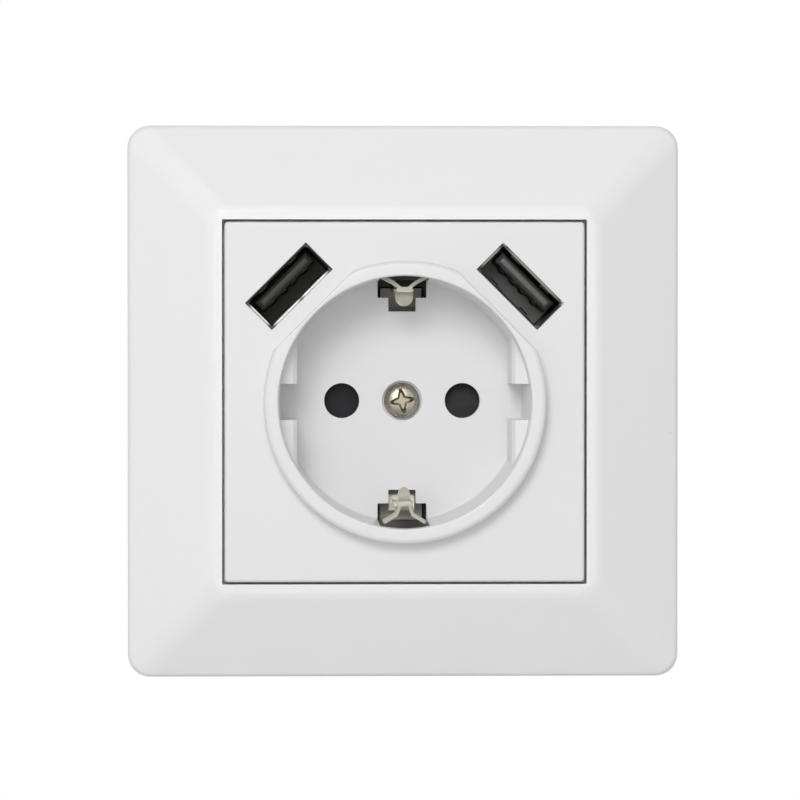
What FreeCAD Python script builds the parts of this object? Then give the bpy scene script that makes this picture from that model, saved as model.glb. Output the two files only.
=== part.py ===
import FreeCAD, Part
import math
import os

# A flush wall socket for round earthed plugs, with two charging ports in its upper corners.
# Lengths are in millimetres. The front faces -Y, +X is to the right and +Z is up.
# The origin lies on the socket's axis, where it meets the wall's surface.

# Surround frame: a hollow square moulding with a sloping face and a thin rim round its opening.
frame_corner_r = 3.5
frame_height = 9.3
frame_edge = 2.0
frame_edge_round = 1.3
frame_wall = 2.0
opening_corner_r = 0.8
rim_width = 1.55
rim_corner_r = 3.4
rim_round = 0.45
inner_wall = 2.0
ledge_reach = 1.4
ledge_thick = 1.5
screw_notch_width = 9.0
screw_notch_depth = 3.0

# Cover: the square plate, the raised ring and the round well are one moulding.
cover_gap = 0.35
cover_margin = 6.05
cover_set_back = 0.2
cover_corner_r = 0.6
cover_round = 0.45
plate_thick = 2.0
skirt_wall = 1.5
skirt_depth = 2.1
ring_rise = 3.9
ring_width = 2.3
ring_round = 0.8
mouth_r = 19.5
mouth_round = 0.3
well_depth = 17.5
well_draft = 0.4
floor_round = 0.5
floor_thick = 2.0
well_wall = 1.5
facet_cut = 1.8
facet_round = 0.35

# Plug pins, and the guide flats at the left and right of the well.
pin_spacing = 19.0
pin_r = 2.4
pin_length = 19.0
pin_end_gap = 0.9
pin_hole_r = 2.77
guide_inset = 2.5
guide_set_back = 4.0
guide_slope = 1.2
guide_slot = 5.6

# Windows for the earth clips, each with a wide part outside and a narrow part inside.
window_wide = 7.7
window_narrow = 4.3
window_reach = 2.4
window_step_reach = 0.25
wall_slot_skin = 0.4
wall_slot_set_back = 2.5

# Central cover screw and the boss that it passes through.
screw_r = 1.5
screw_head_r = 2.8
screw_head_height = 1.9
screw_head_dome = 1.14
screw_recess_r = 3.15
screw_recess_depth = 1.0
screw_hole_r = 1.7
screw_end = 15.0
cross_width = 0.8
cross_length = 3.4
cross_depth = 1.3
cross_turn = 9.0
boss_r = 3.6
thread_gap = 0.05

# Charging ports: each is a folded steel shell round a plastic insulator with a tongue.
port_wall = 1.35
port_angle = 45.0
port_gap = 0.1
shell_long = 13.1
shell_short = 5.7
shell_sheet = 0.3
shell_set_back = 0.4
shell_length = 13.9
shell_seam = 0.14
shell_leg_width = 1.6
finger_width = 1.6
finger_place = 3.2
finger_length = 5.0
finger_bend = 0.5
finger_start = 2.4
finger_slit = 0.25
tongue_above = 0.68
tongue_thick = 1.84
tongue_side_room = 0.7
tongue_set_back = 0.8
tongue_lead = 0.5
tongue_side_lead = 0.7
insulator_depth = 4.0
insulator_gap = 0.05
contact_width = 1.0
contact_sheet = 0.2
contact_set_back = 0.9
contact_places = (-3.5, -1.0, 1.0, 3.5)
pin_stick_out = 0.6

# Board that carries the ports, and the pins from it to the charger board.
board_thick = 1.2
port_board_gap = 0.4
port_board_overlap = 2.6
port_board_angle = 60.0
ear_side = 0.55
ear_below = 3.7
ear_above = 3.0
link_pin_r = 0.4
link_pin_pitch = 2.54
link_pin_count = 4
link_pin_edge = 1.35
solder_gap = 0.05

# Steel mounting plate behind the frame.
plate_screw_edge = 5.5
plate_room = 5.5
plate_corner_r = 4.0
plate_sheet = 1.2
plate_overlap = 0.8
ear_room = 0.9
box_screw_spacing = 60.0
box_screw_hole_r = 2.1
level_slot_angle = 12.0
level_slot_width = 4.2
tab_width = 15.0
tab_edge = 0.2
ring_screw_inset = 2.0
ring_screw_z = 5.0
ring_screw_r = 1.0
ring_screw_head_r = 1.9
ring_screw_head = 1.1
ring_screw_dome = 0.44
ring_screw_length = 7.0

# Contact base and the shutter in its front pocket.
base_inset = 0.5
pocket_inset = 2.25
pocket_depth = 2.9
base_web = 1.5
boss_gap = 0.15
sleeve_mouth = 1.9
sleeve_room = 0.45
terminal_block_wall = 1.1
terminal_block_top = -10.0
terminal_block_front = 13.0
terminal_block_chamfer = 2.6
snap_width = 7.6
snap_thick = 2.4
snap_front = 10.4
snap_barb = 1.3
snap_gap = 0.2
stop_peg_r = 0.7
stop_peg_inset = 2.7
stop_gap = 0.15
shutter_thick = 1.5
shutter_gap = 0.15
shutter_bore_gap = 0.06
shutter_hub_r = 5.3
shutter_tip_room = 0.8
shutter_half_angle = 21.0
shutter_travel = 40.0
shutter_ramp_depth = 0.9
shutter_ramp_start = 0.6
shutter_ramp_length = 1.9
shutter_ramp_side = 0.4
spring_wire = 0.4
spring_r = 4.25
spring_pitch = 0.45
spring_turns = 1.25
spring_gap = 0.02
spring_leg = 2.6

# Earth strap with its two clips, and the mains contacts.
strap_sheet = 0.6
strap_half_width = 3.3
strap_lift = 0.8
strap_gap = 0.2
strap_tab_width = 1.4
clip_inset = 2.65
clip_sheet = 0.55
clip_set_back = 4.0
clip_flat = 1.7
clip_flank = 0.65
clip_flank_rise = 1.65
clip_wing = 1.9
clip_wing_rise = 1.15
clip_hood = 4.5
arm_half_width = 1.5
nose_reach = 2.45
nose_half_width = 1.3
nose_slope = 2.8
nose_return = 6.5
collar_r = 2.5
collar_height = 1.7
sleeve_wall = 0.55
sleeve_slack = 0.02
sleeve_slit = 1.0
sleeve_root = 1.9
tail_sheet = 0.6
tail_half_width = 1.9
tail_grip = 1.7
tail_gap = 0.2

# Brass terminal blocks in a row at the bottom, clamped by screws from below.
terminal_pitch = 11.0
terminal_width = 7.0
terminal_height = 7.0
terminal_length = 9.0
terminal_gap = 0.05
wire_bore_r = 1.6
clamp_screw_r = 1.5
clamp_head_r = 2.3
clamp_head = 1.5
clamp_hole_r = 2.6
clamp_slot = 0.5
clamp_slot_depth = 0.7

# Rear housing: an eight-sided cup that fits a round wall box.
housing_wall = 1.5
housing_corner_room = 1.3
base_room = 0.2
parts_room = 0.8
cut_out_gap = 0.5
wire_entry_r = 2.0
wire_entry_wall = 1.2
post_r = 1.8
post_side_inset = 5.5
post_low_z = -8.0
post_high_x = 12.0
post_top_inset = 5.0
screw_boss_depth = 9.0
screw_boss_half = 2.0
screw_boss_reach = 2.4

# Charger board and what stands on it.
charger_gap = 1.0
charger_room = 1.9
charger_low = -11.0
charger_edge = 1.15
charger_corner_room = 0.8
pad_inset = 3.5
pad_z = 8.0
pad_r = 1.5
mains_pin_r = 0.6
mains_pin_z = -8.0
core_size = (15.0, 8.5, 13.0)
core_wall = 2.6
winding_gap = 0.1
core_place = (-3.0, 6.0)
input_cap_r = 4.0
input_cap_length = 8.0
input_cap_inset = 8.1
input_cap_z = 2.0
output_cap_r = 3.1
output_cap_length = 7.0
output_cap_x = 9.5
output_cap_inset = 9.4
capacitor_round = 0.5
rectifier_size = (6.0, 2.5, 5.0)
rectifier_place = (-16.5, -3.5)
chip_size = (5.0, 1.5, 4.0)
chip_place = (3.0, -6.0)
chip_leg = 1.0
chip_leg_width = 0.4
chip_leg_pitch = 1.27
chip_leg_count = 4

# Depths and places that follow from the sizes above.
rim_y = -frame_height
plate_y = rim_y + cover_set_back
plate_back = plate_y + plate_thick
skirt_back = plate_back + skirt_depth
ring_y = plate_y - ring_rise
floor_y = ring_y + well_depth
floor_back = floor_y + floor_thick
pocket_back = floor_back + pocket_depth
strap_y = pocket_back + base_web
tail_y = floor_y + pin_length + pin_end_gap
base_back = tail_y + tail_sheet
port_board_y = plate_y + shell_set_back + shell_length
port_board_back = port_board_y + board_thick
charger_y = base_back + charger_gap
charger_back = charger_y + board_thick
housing_floor = charger_back + core_size[1] + parts_room
housing_depth = housing_floor + housing_wall
pin_x = pin_spacing / 2
root_two = math.sqrt(2.0)
floor_r = mouth_r - well_draft
ring_r = mouth_r + ring_width
well_outer_r = mouth_r + well_wall
wall_slot_r = well_outer_r - wall_slot_skin
facet_distance = ring_r - facet_cut
guide_face = floor_r - guide_inset
clip_r = floor_r - clip_inset
window_inner = clip_r - window_reach
window_step = clip_r - window_step_reach
base_r = well_outer_r - base_inset
pocket_r = clip_r - pocket_inset
shutter_r = pocket_r - shutter_tip_room
stop_peg_place = pocket_r - stop_peg_inset
pad_place = (base_r - pad_inset, pad_z)
port_distance = well_outer_r + port_wall + port_gap + shell_short / 2
cover_half = ring_r + cover_margin
frame_opening = 2 * (cover_half + cover_gap)
tongue_width = shell_long - 2 * (shell_sheet + tongue_side_room)
tongue_offset = shell_short / 2 - shell_sheet - tongue_above - tongue_thick / 2
terminal_top = strap_lift - clip_r - clip_sheet
terminal_z = terminal_top - terminal_height / 2
terminal_bottom = terminal_top - terminal_height
terminal_y = tail_y - terminal_length
clamp_y = terminal_y + terminal_length / 2
terminal_block_bottom = terminal_bottom - terminal_block_wall
terminal_block_half = terminal_pitch + terminal_width / 2 + terminal_block_wall
housing_half = housing_wall + base_room - terminal_block_bottom
inner_half = housing_half - housing_wall
housing_corner = terminal_block_half - terminal_block_chamfer + housing_corner_room
inner_corner = housing_corner - housing_wall * (root_two - 1)
port_board_r0 = well_outer_r + port_board_gap
ear_width = shell_long + 2 * ear_side
ear_low = port_distance - ear_below
ear_high = port_distance + ear_above
port_board_r1 = ear_low + port_board_overlap
link_pin_z = port_board_r0 + link_pin_edge
plate_side = box_screw_spacing + 2 * plate_screw_edge
plate_opening = 2 * (housing_half - plate_overlap)
plate_opening_corner = ear_high + ear_room
frame_side = plate_side + 2 * (plate_room + frame_wall)
ring_screw_x = housing_half - ring_screw_inset
tab_low = ring_screw_x - ring_screw_head_r - tab_edge
cut_out_width = ear_width + 2 * cut_out_gap
post_places = (
    (housing_half - post_side_inset, post_low_z),
    (post_high_x, housing_half - post_top_inset),
)
charger_half_width = inner_half - charger_room
charger_high = link_pin_z + charger_edge
input_cap_place = (charger_half_width - input_cap_inset, input_cap_z)
output_cap_place = (output_cap_x, charger_high - output_cap_inset)
charger_corner = (inner_half + inner_corner) / root_two - charger_corner_room


def point(x, y, z):
    return FreeCAD.Vector(x, y, z)


def block(x0, x1, y0, y1, z0, z1):
    """A box between two values on each axis."""
    return Part.makeBox(x1 - x0, y1 - y0, z1 - z0, point(x0, y0, z0))


def rod(r, y0, y1, x=0.0, z=0.0):
    """A round bar along the socket's axis."""
    return Part.makeCylinder(r, y1 - y0, point(x, y0, z), point(0, 1, 0))


def upright_rod(r, z0, z1, x, y):
    return Part.makeCylinder(r, z1 - z0, point(x, y, z0), point(0, 0, 1))


def plate(outline, y0, y1):
    """An outline of x and z values, given a thickness along Y."""
    corners = [point(x, y0, z) for x, z in outline]
    face = Part.Face(Part.makePolygon(corners + corners[:1]))
    return face.extrude(point(0, y1 - y0, 0))


def side_plate(outline, x0, x1):
    """An outline of y and z values, given a width along X."""
    corners = [point(x0, y, z) for y, z in outline]
    face = Part.Face(Part.makePolygon(corners + corners[:1]))
    return face.extrude(point(x1 - x0, 0, 0))


def rounded_square(half, r, y):
    """A square wire with round corners, across the socket's axis."""
    flat = half - r
    curve = r / root_two
    edges = []
    for quarter in range(4):
        turn = math.radians(90.0 * quarter)
        c = math.cos(turn)
        s = math.sin(turn)

        def place(x, z):
            return point(x * c - z * s, y, x * s + z * c)

        edges.append(Part.makeLine(place(half, -flat), place(half, flat)))
        middle = place(flat + curve, flat + curve)
        edges.append(Part.Arc(place(half, flat), middle, place(flat, half)).toShape())
    return Part.Wire(edges)


def square_bar(half, r, y0, y1):
    return Part.Face(rounded_square(half, r, y0)).extrude(point(0, y1 - y0, 0))


def square_loft(half0, r0, y0, half1, r1, y1):
    wires = [rounded_square(half0, r0, y0), rounded_square(half1, r1, y1)]
    return Part.makeLoft(wires, True, True)


def turned(shape, angle):
    """A copy turned about the socket's axis, clockwise as seen from the front."""
    copy = shape.copy()
    copy.rotate(point(0, 0, 0), point(0, 1, 0), angle)
    return copy


def flipped(shape):
    """The mirror image on the other side of the socket's vertical middle plane."""
    return shape.mirror(point(0, 0, 0), point(1, 0, 0))


def join(shapes):
    return shapes[0].fuse(shapes[1:]).removeSplitter()


def round_edges(shape, radius, wanted):
    """Rounds the edges for which wanted is true."""
    edges = [edge for edge in shape.Edges if wanted(edge)]
    return shape.makeFillet(radius, edges)


def lies_at(edge, y, tolerance=0.01):
    box = edge.BoundBox
    return abs(box.YMin - y) < tolerance and abs(box.YMax - y) < tolerance


def eight_sided(half, corner):
    """Outline of a square whose corners are cut off at the given value."""
    return [
        (half, -corner), (half, corner), (corner, half), (-corner, half),
        (-half, corner), (-half, -corner), (-corner, -half), (corner, -half),
    ]


def sheet_outline(path, sheet):
    """A folded sheet seen on its edge: the path is its near side, the far side is one sheet away."""
    far = []
    for i, (x, z) in enumerate(path):
        before = path[max(i - 1, 0)]
        after = path[min(i + 1, len(path) - 1)]
        if i == 0:
            before = (2 * x - after[0], 2 * z - after[1])
        if i == len(path) - 1:
            after = (2 * x - before[0], 2 * z - before[1])
        first = math.atan2(z - before[1], x - before[0])
        second = math.atan2(after[1] - z, after[0] - x)
        middle = (first + second) / 2
        reach = sheet / math.cos((second - first) / 2)
        far.append((x - reach * math.sin(middle), z + reach * math.cos(middle)))
    return path + far[::-1]


def make_frame():
    half = frame_side / 2
    rim_half = frame_opening / 2 + rim_width
    open_half = frame_opening / 2
    base = square_bar(half, frame_corner_r, -frame_edge, 0)
    slope = square_loft(half, frame_corner_r, -frame_edge, rim_half, rim_corner_r, rim_y)
    body = base.fuse(slope)
    body = round_edges(body, frame_edge_round, lambda e: lies_at(e, -frame_edge))
    body = round_edges(body, rim_round, lambda e: lies_at(e, rim_y))

    # The hollow behind the slope keeps one wall thickness all over.
    run = half - rim_half
    rise = frame_height - frame_edge
    slant = math.hypot(run, rise)
    drop = frame_wall * slant / run
    wall_half = open_half + inner_wall
    hollow_half = half - frame_wall
    hollow_y = -frame_edge + drop - rise / run * frame_wall
    hollow_top = hollow_y - rise / run * (hollow_half - wall_half)
    hollow_r = frame_corner_r - frame_wall
    hollow = square_bar(hollow_half, hollow_r, hollow_y, 1)
    hollow = hollow.fuse(square_loft(hollow_half, hollow_r, hollow_y, wall_half, hollow_r, hollow_top))
    inner = square_bar(wall_half, opening_corner_r, hollow_top - 1, -plate_sheet)
    hollow = hollow.cut(inner)
    body = body.cut(hollow)

    # The opening goes right through, with a ledge that the cover presses on.
    body = body.cut(square_bar(open_half, opening_corner_r, rim_y - 1, 1))
    ledge = square_bar(open_half + inner_wall / 2, opening_corner_r, skirt_back, skirt_back + ledge_thick)
    ledge = ledge.cut(square_bar(open_half - ledge_reach, opening_corner_r, rim_y, 0))
    body = body.fuse(ledge)

    # Notches in the inner wall clear the heads of the box screws.
    for quarter in range(4):
        notch = block(open_half - ledge_reach - 1, wall_half + 1, -plate_sheet - screw_notch_depth, 1,
                      -screw_notch_width / 2, screw_notch_width / 2)
        body = body.cut(turned(notch, 90.0 * quarter))
    return body.removeSplitter()


def port_window(y0, y1):
    """Hole for a port, above the socket's axis."""
    half_long = shell_long / 2 + port_gap
    half_short = shell_short / 2 + port_gap
    return block(-half_long, half_long, y0, y1, port_distance - half_short, port_distance + half_short)


def earth_window(y0, y1, outer):
    """Two-width hole for the upper earth clip."""
    wide = block(-window_wide / 2, window_wide / 2, y0, y1, window_step, outer)
    narrow = block(-window_narrow / 2, window_narrow / 2, y0, y1, window_inner, window_step + 0.1)
    return wide.fuse(narrow)


def make_guide():
    """The right-hand guide: two flats that keep the plug the right way round, with a slot between."""
    front = ring_y + guide_set_back
    outline = [
        (front, mouth_r + 0.8), (front + guide_slope / 2, guide_face + guide_slope / 2),
        (front + guide_slope, guide_face), (floor_y + 0.2, guide_face), (floor_y + 0.2, mouth_r + 0.8),
    ]
    corners = [point(x, y, -mouth_r) for y, x in outline]
    guide = Part.Face(Part.makePolygon(corners + corners[:1])).extrude(point(0, 0, 2 * mouth_r))
    round_part = rod((mouth_r + well_outer_r) / 2, front - 1, floor_y + 0.2)
    guide = guide.common(round_part)
    slot = block(0, ring_r, front - 1, floor_y + 0.1, -guide_slot / 2, guide_slot / 2)
    return guide.cut(slot)


def make_cover():
    body = square_bar(cover_half, cover_corner_r, plate_y, skirt_back)
    body = round_edges(body, cover_round, lambda e: lies_at(e, plate_y))
    inner_half = cover_half - skirt_wall
    body = body.cut(square_bar(inner_half, cover_corner_r, plate_back, skirt_back + 1))

    # The raised ring has a flat towards each port, where the two come close.
    ring = round_edges(rod(ring_r, ring_y, plate_back), ring_round, lambda e: lies_at(e, ring_y))
    for angle in (-port_angle, port_angle):
        flat = block(-ring_r, ring_r, ring_y - 1, plate_back + 1, facet_distance, ring_r + 1)
        ring = ring.cut(turned(flat, angle))
    round_kinds = ("Part::GeomLine", "Part::GeomBSplineCurve")
    ring = round_edges(ring, facet_round, lambda e: e.Curve.TypeId in round_kinds
                       and e.BoundBox.YMax < ring_y + ring_round + 0.01)
    well = rod(well_outer_r, plate_y, floor_back)
    body = body.fuse([ring, well])

    hollow = Part.makeCone(mouth_r, floor_r, well_depth, point(0, ring_y, 0), point(0, 1, 0))
    hollow = round_edges(hollow, floor_round, lambda e: lies_at(e, floor_y))
    body = body.cut(hollow)
    body = round_edges(body, mouth_round,
                       lambda e: lies_at(e, ring_y) and abs(e.BoundBox.XMax - mouth_r) < 0.01)

    guide = make_guide()
    body = body.fuse([guide, flipped(guide)])
    boss = rod(boss_r, floor_y + floor_thick / 2, strap_y)
    body = body.fuse(boss)

    cuts = [rod(screw_hole_r, floor_y - 1, strap_y + 1)]
    cuts.append(rod(screw_recess_r, floor_y - 1, floor_y + screw_recess_depth))
    for side in (-1, 1):
        cuts.append(rod(pin_hole_r, floor_y - 1, floor_back + 1, side * pin_x))
        cuts.append(turned(port_window(plate_y - 1, plate_back + 1), side * port_angle))
    for angle in (0, 180):
        cuts.append(turned(earth_window(floor_y - 0.6, floor_back + 1, well_outer_r + 1), angle))
        groove = block(-window_wide / 2, window_wide / 2, ring_y + wall_slot_set_back, floor_y, floor_r - 1.5,
                       wall_slot_r)
        cuts.append(turned(groove, angle))
        gap = block(-window_wide / 2, window_wide / 2, plate_back, floor_back + 1, floor_r - 1,
                    well_outer_r + 1)
        cuts.append(turned(gap, angle))
    return body.cut(cuts).removeSplitter()


def make_cover_screw():
    seat = floor_y + screw_recess_depth
    head = rod(screw_head_r, seat - screw_head_height, seat)
    head = round_edges(head, screw_head_dome, lambda e: lies_at(e, seat - screw_head_height))
    shank = rod(screw_r, seat, screw_end)
    cross = []
    for angle in (0, 90):
        arm = block(-cross_length / 2, cross_length / 2, seat - screw_head_height - 1,
                    seat - screw_head_height + cross_depth, -cross_width / 2, cross_width / 2)
        cross.append(turned(arm, angle + cross_turn))
    return join([head, shank]).cut(cross)


def make_support_ring():
    half = plate_opening / 2
    corner = root_two * plate_opening_corner - half
    body = square_bar(plate_side / 2, plate_corner_r, -plate_sheet, 0)
    body = body.cut(plate(eight_sided(half, corner), -plate_sheet - 1, 1))
    for side in (-1, 1):
        tab = block(min(side * tab_low, side * (half + 1)), max(side * tab_low, side * (half + 1)),
                    -plate_sheet, 0, -tab_width / 2, tab_width / 2)
        body = body.fuse(tab)
        body = body.cut(rod(box_screw_hole_r, -plate_sheet - 1, 1, side * box_screw_spacing / 2))
        slot_r = box_screw_spacing / 2
        arc = rod(slot_r + level_slot_width / 2, -plate_sheet - 1, 1)
        arc = arc.cut(rod(slot_r - level_slot_width / 2, -plate_sheet - 1, 1))
        reach = (slot_r + level_slot_width) * math.tan(math.radians(level_slot_angle))
        high = slot_r + level_slot_width
        wedge = plate([(0, 0), (-reach, high), (reach, high)], -plate_sheet - 1, 1)
        slot = arc.common(wedge)
        for turn in (-level_slot_angle, level_slot_angle):
            a = math.radians(turn)
            slot = slot.fuse(rod(level_slot_width / 2, -plate_sheet - 1, 1, slot_r * math.sin(a),
                                 slot_r * math.cos(a)))
        body = body.cut(turned(slot, 0 if side > 0 else 180))
        for z in (-ring_screw_z, ring_screw_z):
            hole = rod(ring_screw_r + thread_gap, -plate_sheet - 1, 1, side * ring_screw_x, z)
            body = body.cut(hole)
    return body.removeSplitter()


def make_ring_screws():
    screws = []
    for x in (-ring_screw_x, ring_screw_x):
        for z in (-ring_screw_z, ring_screw_z):
            head = rod(ring_screw_head_r, -plate_sheet - ring_screw_head, -plate_sheet, x, z)
            head = round_edges(head, ring_screw_dome,
                               lambda e: lies_at(e, -plate_sheet - ring_screw_head))
            shank = rod(ring_screw_r, -plate_sheet, ring_screw_length - plate_sheet, x, z)
            screws.append(join([head, shank]))
    return Part.makeCompound(screws)


def terminal_places():
    return (-terminal_pitch, 0.0, terminal_pitch)


def make_contact_base():
    body = rod(base_r, floor_back, base_back)
    chamfer = terminal_block_chamfer
    outline = [
        (terminal_block_half, terminal_block_top), (terminal_block_half, terminal_block_bottom + chamfer),
        (terminal_block_half - chamfer, terminal_block_bottom),
        (chamfer - terminal_block_half, terminal_block_bottom),
        (-terminal_block_half, terminal_block_bottom + chamfer), (-terminal_block_half, terminal_block_top),
    ]
    body = body.fuse(plate(outline, terminal_block_front, base_back))
    for side in (-1, 1):
        near = side * (base_r - 2)
        wall = side * (inner_half - snap_gap)
        barb = side * (inner_half + snap_barb)
        arm = [(near, snap_front), (barb, snap_front), (wall, snap_front + snap_thick),
               (near, snap_front + snap_thick)]
        corners = [point(x, y, -snap_width / 2) for x, y in arm]
        snap = Part.Face(Part.makePolygon(corners + corners[:1])).extrude(point(0, 0, snap_width))
        body = body.fuse(snap)
        pad = rod(pad_r, base_back - 1, charger_y, side * pad_place[0], pad_place[1])
        body = body.fuse(pad)

    cuts = [rod(pocket_r, floor_back - 1, pocket_back)]
    cuts.append(rod(boss_r + boss_gap, pocket_back - 1, strap_y + 1))
    channel_low = terminal_bottom - terminal_gap
    channel_half = strap_half_width + strap_gap
    cuts.append(block(-channel_half, channel_half, strap_y, base_back + 1, -clip_r,
                      clip_r + clip_sheet + strap_lift + strap_gap))
    cuts.append(block(-terminal_width / 2 - terminal_gap, terminal_width / 2 + terminal_gap, strap_y,
                      base_back + 1, channel_low, -clip_r + 1))
    slot_low = clip_r - strap_lift - strap_gap - nose_reach / 4
    slot_high = base_r - housing_wall
    for angle in (0, 180):
        slot = block(-window_wide / 2, window_wide / 2, floor_back - 1, strap_y + 1, slot_low, slot_high)
        cuts.append(turned(slot, angle))
    room_r = pin_r + sleeve_wall + sleeve_room
    for side in (-1, 1):
        x = side * pin_x
        cuts.append(rod(pin_hole_r, pocket_back - 1, base_back, x))
        cuts.append(rod(room_r, pocket_back + sleeve_mouth, base_back + 1, x))
        cuts.append(block(x - tail_half_width - tail_gap, x + tail_half_width + tail_gap, tail_y,
                          base_back + 1, terminal_top - tail_grip - tail_gap, 0))
        place = side * terminal_pitch
        seat_half = terminal_width / 2 + terminal_gap
        cuts.append(block(place - seat_half, place + seat_half, terminal_y, base_back + 1,
                          terminal_bottom - terminal_gap, terminal_top + terminal_gap))
    for place in terminal_places():
        cuts.append(upright_rod(clamp_hole_r, terminal_block_bottom - 1, terminal_z, place, clamp_y))
    body = body.cut(cuts)

    # Stops for the shutter at both ends of its turn.
    edge = math.degrees((stop_peg_r + stop_gap) / stop_peg_place)
    for half_turn in (0, 180):
        for angle in (-shutter_half_angle - edge, shutter_half_angle + shutter_travel + edge):
            peg = rod(stop_peg_r, floor_back + shutter_gap, pocket_back + base_web / 2, stop_peg_place)
            body = body.fuse(turned(peg, angle + half_turn))
    return body.removeSplitter()


def make_shutter():
    front = floor_back + shutter_gap
    back = front + shutter_thick
    hub = rod(shutter_hub_r, front, back)
    reach = shutter_r * 1.2
    a = math.radians(shutter_half_angle)
    wedge = plate([(0, 0), (reach, -reach * math.tan(a)), (reach, reach * math.tan(a))], front, back)
    wing = wedge.common(rod(shutter_r, front, back))
    wing = wing.cut(rod(shutter_hub_r - 1, front, back))

    # The sunk part of each wing ends in a ramp, which the plug's pin pushes aside.
    deep = front + shutter_ramp_depth
    ramp_end = -shutter_ramp_start - shutter_ramp_length
    outline = [(front - 1, shutter_r), (deep, shutter_r), (deep, -shutter_ramp_start), (front, ramp_end),
               (front - 1, ramp_end)]
    sunk = side_plate(outline, pin_x - pin_hole_r - shutter_ramp_side, shutter_r + 1)
    wing = wing.cut(sunk)
    body = join([hub, wing, turned(wing, 180)])
    return body.cut(rod(boss_r + shutter_bore_gap, front - 1, back + 1))


def make_shutter_spring():
    """A flat coil round the boss, with one leg on the shutter and one on the base."""
    start = floor_back + shutter_gap + shutter_thick + spring_gap + spring_wire / 2
    height = spring_turns * spring_pitch
    helix = Part.makeHelix(spring_pitch, height, spring_r)
    section = Part.Wire(Part.makeCircle(spring_wire / 2, point(spring_r, 0, 0), point(0, 1, 0)))
    coil = Part.Wire(helix.Edges).makePipeShell([section], True, True)
    first_leg = Part.makeCylinder(spring_wire / 2, spring_leg, point(spring_r, 0, 0), point(1, 0, 0))
    last = math.radians(360.0 * spring_turns)
    outward = point(math.cos(last), math.sin(last), 0)
    last_leg = Part.makeCylinder(spring_wire / 2, spring_leg,
                                 point(spring_r * math.cos(last), spring_r * math.sin(last), height), outward)
    spring = coil.fuse([first_leg, last_leg])
    spring.rotate(point(0, 0, 0), point(1, 0, 0), -90)
    spring.translate(point(0, start, 0))
    return turned(spring, 0)


def clip_hood_outline():
    x = clip_flat / 2
    half = [(x, clip_r), (x + clip_flank, clip_r + clip_flank_rise),
            (x + clip_flank + clip_wing, clip_r + clip_flank_rise + clip_wing_rise)]
    other = [(-px, pz) for px, pz in half[::-1]]
    return sheet_outline(other + half, clip_sheet)


def make_clip():
    """The upper earth clip: a sprung arm with a nose that touches the plug, and wings that guide it."""
    front = ring_y + clip_set_back
    hood = plate(clip_hood_outline(), front, front + clip_hood)
    arm = block(-arm_half_width, arm_half_width, front + clip_hood / 2, strap_y + strap_sheet, clip_r,
                clip_r + clip_sheet)
    low = clip_r - nose_reach
    profile = [
        (front, clip_r + clip_sheet), (front, clip_r - clip_sheet / 2), (front + nose_slope, low),
        (front + nose_slope + clip_sheet, low), (front + nose_slope + nose_return, clip_r),
        (front + nose_slope + nose_return, clip_r + clip_sheet),
    ]
    nose = side_plate(profile, -nose_half_width, nose_half_width)
    nose_end = front + nose_slope + nose_return
    round_end = rod(nose_half_width, front - 1, nose_end + 1, 0, low + nose_half_width)
    square_end = block(-nose_half_width, nose_half_width, front - 1, nose_end + 1, low + nose_half_width,
                       clip_r + 2 * clip_sheet)
    nose = nose.common(round_end.fuse(square_end))
    return join([hood, arm, nose])


def make_earth_strap():
    clip = make_clip()
    reach = clip_r + clip_sheet
    bar = block(-strap_half_width, strap_half_width, strap_y, strap_y + strap_sheet, -reach, reach)
    collar = rod(collar_r, strap_y, strap_y + strap_sheet + collar_height, 0, -strap_lift)
    tab = block(strap_half_width - strap_tab_width, strap_half_width, strap_y,
                terminal_y + terminal_length / 3, -reach, -clip_r)
    body = join([bar, collar, tab, clip, turned(clip, 180)])
    hole = rod(screw_r + thread_gap, strap_y - 1, strap_y + strap_sheet + collar_height + 1, 0, -strap_lift)
    body = body.cut(hole)
    body.translate(point(0, 0, strap_lift))
    return body


def make_contact(side):
    """One mains contact: a split sleeve for the plug's pin, and a tail to its terminal."""
    x = side * pin_x
    inner = pin_r + sleeve_slack
    outer = inner + sleeve_wall
    mouth = pocket_back + sleeve_mouth + sleeve_room
    sleeve = rod(outer, mouth, tail_y, x).cut(rod(inner, mouth - 1, tail_y + 1, x))
    slit = block(x - outer - 1, x + outer + 1, mouth - 1, tail_y - sleeve_root, -sleeve_slit / 2,
                 sleeve_slit / 2)
    sleeve = sleeve.cut(slit)
    foot = rod(outer, tail_y, base_back, x)
    tail = block(x - tail_half_width, x + tail_half_width, tail_y, base_back, terminal_top - tail_grip, 0)
    return join([sleeve, foot, tail])


def make_terminal(place):
    body = block(place - terminal_width / 2, place + terminal_width / 2, terminal_y, tail_y, terminal_bottom,
                 terminal_top)
    body = body.cut(rod(wire_bore_r, terminal_y - 1, tail_y + 1, place, terminal_z))
    thread = upright_rod(clamp_screw_r + thread_gap, terminal_bottom - 1, terminal_z, place, clamp_y)
    return body.cut(thread)


def make_terminal_screw(place):
    head_top = terminal_bottom - terminal_gap
    head_low = head_top - clamp_head
    shank = upright_rod(clamp_screw_r, head_top, terminal_z - wire_bore_r / 2, place, clamp_y)
    head = upright_rod(clamp_head_r, head_low, head_top, place, clamp_y)
    slot = block(place - clamp_head_r, place + clamp_head_r, clamp_y - clamp_slot / 2,
                 clamp_y + clamp_slot / 2, head_low - 1, head_low + clamp_slot_depth)
    return join([shank, head]).cut(slot)


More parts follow.
